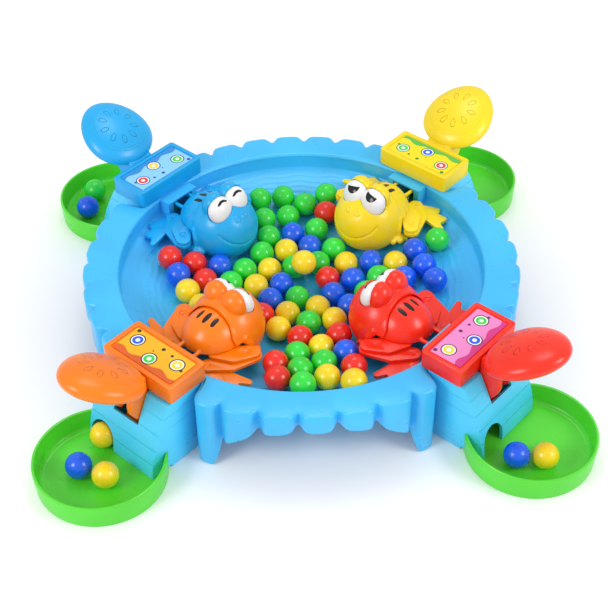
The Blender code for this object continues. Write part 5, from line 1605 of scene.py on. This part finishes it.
# %% Legs
KNEE_PIN_RADIUS = 0.001
KNEE_PLAY = 0.0019
ANKLE_LEAF_RADIUS = 0.0044
# The circles that the leaves are drawn round: centre, radius
SHIN_CIRCLES = ((ANKLE, ANKLE_LEAF_RADIUS), ((0.086, 0.0228), 0.0052), ((0.073, 0.0275), 0.005))
THIGH_CIRCLES = (((0.0727, 0.0272), 0.0044), ((0.082, 0.0208), 0.0052), ((0.0865, 0.012), 0.0048))
LEAF_STEPS = 48
LEAF_EDGE = 0.00045
HEEL_DEGREES = (150, 330)
# From the outer toe to the inner one: its middle, the stretch of its round tip, and the web after it
FOOT_TOES = (
    ((0.102, 0.026), (-30, 90), [(0.0990, 0.0291)]),
    ((0.0975, 0.0345), (-20, 110), [(0.0926, 0.0351)]),
    ((0.0885, 0.0385), (10, 170), []),
)
TOE_RADIUS = 0.0018
TOE_STEPS = 6
DIMPLE_RADIUS = 0.0026
DIMPLE_DEPTH = 0.0006
# A snap pin's split end: its length, width and depth
SPLIT_LENGTH = 0.0028
SPLIT_WIDTH = 0.0008
SPLIT_DEPTH = 0.0004

# %% Leaves
def split_end(x, y, top):
    """Cutters for the crossed slots in the head of a snap pin."""
    long, wide = SPLIT_LENGTH / 2, SPLIT_WIDTH / 2
    return [
        box("split", (x - dx, y - dy, top - SPLIT_DEPTH), (x + dx, y + dy, top + OVERRUN))
        for dx, dy in ((long, wide), (wide, long))
    ]


def leaf(name, circles, side, low):
    """Flat plate whose outline is drawn tight round circles (centre, radius)."""
    shape = bmesh.new()
    for centre, radius in circles:
        for step in range(LEAF_STEPS):
            x, y = polar(radius, 360 * step / LEAF_STEPS)
            shape.verts.new((centre[0] + x, side * centre[1] + y, 0))
    hulled(shape)
    outline = [(vert.co.x, vert.co.y) for vert in shape.verts]
    shape.free()
    middle = sum((Vector(point) for point in outline), Vector((0, 0))) / len(outline)
    outline.sort(key=lambda point: math.atan2(point[1] - middle.y, point[0] - middle.x))
    return plate(name, outline, low, low + LEAF_THICKNESS)


def pin_hole(place, side, height, radius):
    """Cutter for a hole through a leaf."""
    spot = (place[0], side * place[1])
    return upright("pin_hole", spot, height - OVERRUN, height + LEAF_THICKNESS + OVERRUN, radius, LEAF_STEPS)


def build_thigh(side):
    """Top leaf of a leg, from the hip pin to the knee, with the knee's short pin."""
    thigh = leaf("thigh", THIGH_CIRCLES, side, THIGH_HEIGHT)
    x, y = spot = (KNEE[0], side * KNEE[1])
    pin_low, pin_high = SHIN_HEIGHT + GAP, THIGH_HEIGHT + BLEND
    join(thigh, upright("knee_pin", spot, pin_low, pin_high, KNEE_PIN_RADIUS, LEG_PIN_STEPS))
    top = THIGH_HEIGHT + LEAF_THICKNESS
    dimple = upright("dimple", spot, top - DIMPLE_DEPTH, top + OVERRUN, DIMPLE_RADIUS, LEAF_STEPS)
    cut(thigh, dimple, *split_end(x, y, top - DIMPLE_DEPTH))
    return cut(thigh, pin_hole(HIP, side, THIGH_HEIGHT, LEG_PIN_RADIUS + GAP))


def build_lower_leg(side):
    """Shin leaf from the knee to the ankle pin, in one moulding with the webbed foot below it."""
    shin = leaf("lower_leg", SHIN_CIRCLES, side, SHIN_HEIGHT)
    outline = arc(ANKLE, ANKLE_LEAF_RADIUS, *HEEL_DEGREES, TOE_STEPS + 1)
    for middle, stretch, web in FOOT_TOES:
        outline += arc(middle, TOE_RADIUS, *stretch, TOE_STEPS) + web
    foot = plate("foot", [(x, side * y) for x, y in outline], FOOT_HEIGHT, FOOT_HEIGHT + LEAF_THICKNESS)
    x, y = spot = (ANKLE[0], side * ANKLE[1])
    top = SHIN_HEIGHT + LEAF_THICKNESS
    step_low, step_high = FOOT_HEIGHT + LEAF_THICKNESS / 2, SHIN_HEIGHT + LEAF_THICKNESS / 2
    join(shin, foot, upright("step", spot, step_low, step_high, HIP_BOSS_RADIUS + BLEND, LEAF_STEPS))
    ankle_hole = upright(
        "ankle_hole", spot, FOOT_HEIGHT - OVERRUN, top - ANKLE_SKIN, LEG_PIN_RADIUS + GAP, LEAF_STEPS
    )
    cut(shin, *split_end(x, y, top))
    return cut(shin, ankle_hole, pin_hole(KNEE, side, SHIN_HEIGHT, KNEE_PIN_RADIUS + KNEE_PLAY))


for name, side in SIDES.items():
    for build, part in ((build_lower_leg, "lower_leg"), (build_thigh, "thigh")):
        leg = smooth(eased(build(side), LEAF_EDGE))
        kind = f"{part}_{name}_"
        dress_stations(leg, kind + "moulding_{}", kind + "{}", [kind + "{}"], frog_abs)

# %% [markdown]
# Sixty-four marbles fill the arena, one lies on top of them and seven lie in the trays. They are balls
# of polypropylene, 15 mm across, with a clear gloss and a slight glow inside the colour. Their places
# were read from the photograph as shares of the bowl's radius. Many rounds of pushing apart settle
# them, as rolling would, and each rests on the dished floor. Geometry Nodes set a ball on each place,
# one object for each colour.

# %% Places of the marbles
MARBLE_RADIUS = 0.0075
ARENA_MARBLES = {
    "green": (
        (-.16, .41), (.12, .43), (.18, .32), (-.23, .26), (-.30, .15), (-.02, .17), (.12, .19),
        (-.03, -.10), (.02, -.33), (-.05, -.60), (-.05, -.74), (.08, -.68), (-.05, -.87), (-.20, .68),
        (-.07, .69), (-.18, .55), (-.04, .56), (.07, .64), (.20, .69), (.78, .22), (.43, .01), (.34, -.10),
        (-.39, .04), (-.45, -.12),
    ),
    "blue": (
        (-.03, .42), (.04, .30), (-.11, .02), (-.18, -.11), (.16, -.09), (.24, -.20), (.19, -.58),
        (.39, .14), (.65, .17), (.69, .04), (.73, -.10), (.57, -.03), (.29, .03), (-.67, .07), (-.44, .17),
    ),
    "yellow": (
        (-.09, .29), (-.16, .14), (.26, .17), (-.254, .01), (.07, -.20), (-.09, -.24), (.15, -.32),
        (-.15, -.36), (.07, -.53), (.07, -.80), (.20, -.84), (.53, .11), (-.62, -.06), (-.55, -.19),
    ),
    "red": (
        (.15, .05), (-.23, -.24), (-.04, -.45), (.18, -.46), (-.17, -.66), (.22, -.73), (-.18, -.80),
        (.18, .56), (-.70, .23), (-.58, .17), (-.53, .04),
    ),
}
ARENA_MARBLE_SHARES = (
    ("red", 0.15, 0.05), ("green", -0.03, -0.10), ("blue", -0.11, 0.02), ("yellow", -0.254, 0.01),
    ("red", -0.04, -0.45),
)
HEAD_REACH = 0.0212
ROUNDS = 400


def settle_marbles():
    """Push the marbles apart until none touch and all clear the frogs, whose solids stay."""
    fixed = {(x, y) for _, x, y in ARENA_MARBLE_SHARES}
    balls = [
        [colour, Vector((x, y)) * BOWL_RADIUS, (x, y) in fixed]
        for colour, spots in ARENA_MARBLES.items() for x, y in spots
    ]
    drop = HEAD_CENTRE_HEIGHT - floor_height(HEAD_CENTRE_RADIUS) - MARBLE_RADIUS
    blocks = []
    for degrees in STATION_DEGREES.values():
        turn = Matrix.Rotation(math.radians(degrees), 2)
        reach = math.sqrt((HEAD_REACH + MARBLE_RADIUS) ** 2 - drop ** 2) + GAP
        blocks.append((turn @ Vector((HEAD_CENTRE_RADIUS, 0)), reach))
        for side in SIDES.values():
            for (x, y), thickness in reversed(SHIN_CIRCLES[1:]):
                blocks.append((turn @ Vector((x, side * y)), thickness + MARBLE_RADIUS))
            for (x, y, _), thickness in TOES:
                blocks.append((turn @ Vector((x, side * y)), MARBLE_RADIUS + thickness + GAP))
    apart = 2 * MARBLE_RADIUS + GAP
    limit = BOWL_RADIUS - MARBLE_RADIUS - FLOOR_COVE / 2
    for _ in range(ROUNDS):
        for index, ball_a in enumerate(balls):
            for ball_b in balls[index + 1:]:
                away = ball_b[1] - ball_a[1]
                if away.length < apart:
                    push = away.normalized() * (apart - away.length) / (1 if ball_a[2] or ball_b[2] else 2)
                    if not ball_a[2]:
                        ball_a[1] = ball_a[1] - push
                    if not ball_b[2]:
                        ball_b[1] = ball_b[1] + push
        for entry in balls:
            for middle, reach in blocks:
                away = entry[1] - middle
                if away.length < reach and not entry[2]:
                    entry[1] = middle + away.normalized() * reach
            if entry[1].length > limit:
                entry[1] = entry[1].normalized() * limit
    return balls


def rest_on_floor(spot):
    """Centre of a marble that rests on the dished floor at a place seen from above."""
    slope = 2 * FLOOR_DISH * spot.length / BOWL_RADIUS ** 2
    above = (MARBLE_RADIUS + GAP / 2) * math.sqrt(1 + slope ** 2)
    return Vector((spot.x, spot.y, floor_height(spot.length) + above))


settled_balls = settle_marbles()
closest = min(
    (a[1] - b[1]).length for i, a in enumerate(settled_balls) for b in settled_balls[i + 1:]
)
print(f"{len(settled_balls)} marbles on the floor, closest centres {closest * 1000:.2f} mm")

# %% Marbles in the trays and on top
TRAY_MARBLES = (
    ("orange", "blue", 0.1764, -0.0076), ("orange", "yellow", 0.1714, 0.0083),
    ("red", "blue", 0.169, -0.0162), ("red", "yellow", 0.1812, -0.0063),
    ("blue", "green", 0.1859, 0.0022), ("blue", "blue", 0.1753, 0.0182),
    ("orange", "yellow", 0.1523, -0.0142),
)
PERCHED = (0.02, 0.08)
centres = {
    colour: [rest_on_floor(spot) for tint, spot, _ in settled_balls if tint == colour]
    for colour in MARBLE_COLOURS
}
perch = Vector(PERCHED) * BOWL_RADIUS
height = max(
    centre.z + math.sqrt(max(0, (2 * MARBLE_RADIUS + GAP) ** 2 - (centre.xy - perch).length_squared))
    for places in centres.values() for centre in places if (centre.xy - perch).length < 2 * MARBLE_RADIUS
)
centres["yellow"].append(Vector((*perch, height)))
for station, colour, x, y in TRAY_MARBLES:
    turn = Matrix.Rotation(math.radians(STATION_DEGREES[station]), 3, "Z")
    centres[colour].append(turn @ Vector((x, y, TRAY_FLOOR + MARBLE_RADIUS + GAP / 2)))
print({colour: len(places) for colour, places in centres.items()})

# %% Marble material
MARBLE_LEVELS = {
    "IOR": 1.49, "Coat Weight": 0.25, "Coat Roughness": 0.2, "Subsurface Weight": 0.12,
    "Subsurface Scale": 0.003,
}
MARBLE_ROUGHNESS = (0.18, 0.28)
MARBLE_SHADES = (0.9, 1.08)
MARBLE_SHADE_LEVELS = (0.35, 0.65)
CLOUD_SCALE = 90
SCUFF_SCALE = 900
SCUFF_STRENGTH = 0.06


def moulded_marble(name, colour):
    """Polypropylene ball. Light enters it a little way, and a faint cloud varies colour and gloss."""
    made, tree = started(name, MARBLE_LEVELS)
    place = add(tree, "ShaderNodeTexCoord").outputs["Object"]
    cloud = noise(tree, place, CLOUD_SCALE, 1)
    tint = tinted(tree, cloud, shades(colour, MARBLE_SHADES), MARBLE_SHADE_LEVELS)
    gloss = mapped(tree, cloud, 0, 1, *MARBLE_ROUGHNESS)
    scuff = noise(tree, place, SCUFF_SCALE, 2)
    bump = add(tree, "ShaderNodeBump", {"Strength": SCUFF_STRENGTH, "Distance": BUMP_DEPTH}, Height=scuff)
    return completed(made, Base_Color=tint, Roughness=gloss, Normal=bump.outputs["Normal"])


# %% Marbles on their places
MARBLE_SEGMENTS = 32
MARBLE_RINGS = 16


def marble_tree(finish):
    """Ball on every point of the mesh."""
    tree = tree_with(f"marbles_{finish.name}", [("Radius", "NodeSocketFloat")])
    given = add(tree, "NodeGroupInput").outputs
    facets = {"Segments": MARBLE_SEGMENTS, "Rings": MARBLE_RINGS}
    sphere = add(tree, "GeometryNodeMeshUVSphere", facets, Radius=given["Radius"])
    points = add(tree, "GeometryNodeMeshToPoints", Mesh=given["Geometry"]).outputs["Points"]
    set_out = add(tree, "GeometryNodeInstanceOnPoints", Points=points, Instance=sphere.outputs["Mesh"])
    real = add(tree, "GeometryNodeRealizeInstances", Geometry=set_out.outputs["Instances"])
    soft = add(tree, "GeometryNodeSetShadeSmooth", Geometry=real.outputs["Geometry"])
    dressed = add(tree, "GeometryNodeSetMaterial", {"Material": finish}, Geometry=soft.outputs["Geometry"])
    add(tree, "NodeGroupOutput", Geometry=dressed.outputs["Geometry"])
    return tree


for colour, places in centres.items():
    finish = moulded_marble(f"{colour}_polypropylene_moulded", MARBLE_COLOURS[colour])
    points = bpy.data.meshes.new("marble_places")
    points.from_pydata(places, [], [])
    marbles = grown(f"marbles_{colour}", marble_tree(finish), {"Radius": MARBLE_RADIUS}, points)
    nodes = [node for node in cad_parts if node.startswith(f"marble_{colour}_")]
    dress(marbles, "base", nodes, finish)
    print(f"{colour}: {len(places)} marbles")

# %% [markdown]
# The picture is a product photograph: a white table without a horizon and wide soft lights. Two large
# area lamps give the marbles their twin highlights, and a plain white world fills the shadows. The
# levels are set so that a white surface just stays below white, so colours come out as written.
# The floor adds a little glow for the camera alone, which lifts it to white but keeps the shadow.

# %% Floor and world
# The glow grows with the distance from the middle, from the shadows near the game to the far white
GLOW_START = 0.12
GLOW_END = 0.45
GLOW_NEAR = 0
GLOW_FAR = 0.5


def white_table():
    """Matt white sheet that the camera sees a little brighter than the light makes it."""
    made = bpy.data.materials.new("white_paper_matt")
    made.use_nodes = True
    tree = made.node_tree
    tree.nodes.clear()
    paper = add(tree, "ShaderNodeBsdfDiffuse", {"Color": linear("#FAFAFA")})
    place = add(tree, "ShaderNodeTexCoord").outputs["Object"]
    level = mapped(tree, vectors(tree, "LENGTH", place), GLOW_START, GLOW_END, GLOW_NEAR, GLOW_FAR)
    glow = add(tree, "ShaderNodeEmission", {"Color": (1, 1, 1, 1)}, Strength=level)
    path = add(tree, "ShaderNodeLightPath")
    off = add(tree, "ShaderNodeEmission", {"Strength": 0})
    seen = add(tree, "ShaderNodeMixShader", _0=path.outputs["Is Camera Ray"], _1=off.outputs["Emission"],
               _2=glow.outputs["Emission"])
    whole = add(tree, "ShaderNodeAddShader", _0=paper.outputs["BSDF"], _1=seen.outputs["Shader"])
    add(tree, "ShaderNodeOutputMaterial", Surface=whole.outputs["Shader"])
    return made


FLOOR_SIZE = 12
FILL_STRENGTH = 0.68
floor_mesh = bpy.data.meshes.new("table")
half = FLOOR_SIZE / 2
corners = [(-half, -half, 0), (half, -half, 0), (half, half, 0), (-half, half, 0)]
floor_mesh.from_pydata(corners, [], [(0, 1, 2, 3)])
floor = bpy.data.objects.new("table", floor_mesh)
bpy.context.collection.objects.link(floor)
floor_mesh.materials.append(white_table())

scene = bpy.context.scene
world = bpy.data.worlds.new("studio")
scene.world = world
world.use_nodes = True
tree = world.node_tree
tree.nodes.clear()
fill = add(tree, "ShaderNodeBackground", {"Color": (1, 1, 1, 1), "Strength": FILL_STRENGTH})
white = add(tree, "ShaderNodeBackground", {"Color": (1, 1, 1, 1), "Strength": 1})
path = add(tree, "ShaderNodeLightPath")
both = add(tree, "ShaderNodeMixShader", _0=path.outputs["Is Camera Ray"], _1=fill.outputs["Background"],
           _2=white.outputs["Background"])
add(tree, "ShaderNodeOutputWorld", Surface=both.outputs["Shader"])

# %% Lamps
# Each lamp: where it stands, what it faces, its width and its power in watts
LAMPS = {
    "window_left": ((-0.70, -0.50, 0.60), (0, 0, 0.03), 0.40, 3.1),
    "window_right": ((0.70, -0.45, 0.58), (0, 0, 0.03), 0.38, 2.7),
    "overhead": ((0.05, 0.35, 1.10), (0, 0, 0.03), 0.50, 1.8),
}
for name, (place, target, width, watts) in LAMPS.items():
    lamp = bpy.data.lights.new(name, "AREA")
    lamp.shape = "DISK"
    lamp.size = width
    lamp.energy = watts
    holder = bpy.data.objects.new(name, lamp)
    holder.location = place
    holder.rotation_mode = "QUATERNION"
    holder.rotation_quaternion = (Vector(target) - Vector(place)).to_track_quat("-Z", "Y")
    bpy.context.collection.objects.link(holder)

# %% [markdown]
# The camera stands where the photograph was taken from. Its place, turn and focal length were found by
# fitting the round rim, the trays and the plaques to their outlines in the picture, to within one
# pixel.

# %% Camera
CAMERA_PLACE = (-0.0372, -0.5874, 0.5405)
CAMERA_RIGHT = Vector((0.9972, -0.074, -0.0073))
CAMERA_DOWN = Vector((-0.055, -0.6675, -0.7426))
CAMERA_FORWARD = Vector((0.0501, 0.7409, -0.6697))
FOCAL_PIXELS = 1284.86
IMAGE_PIXELS = 612
camera = bpy.data.cameras.new("camera")
camera.sensor_width = 36
camera.lens = camera.sensor_width * FOCAL_PIXELS / IMAGE_PIXELS
camera.clip_start = 0.01
camera.clip_end = 50
eye = bpy.data.objects.new("camera", camera)
turn = Matrix((CAMERA_RIGHT, -CAMERA_DOWN, -CAMERA_FORWARD)).transposed()
eye.rotation_mode = "QUATERNION"
eye.rotation_quaternion = turn.to_quaternion()
eye.location = CAMERA_PLACE
bpy.context.collection.objects.link(eye)
scene.camera = eye
scene.view_settings.view_transform = "Standard"
print(f"camera: {camera.lens:.1f} mm lens")
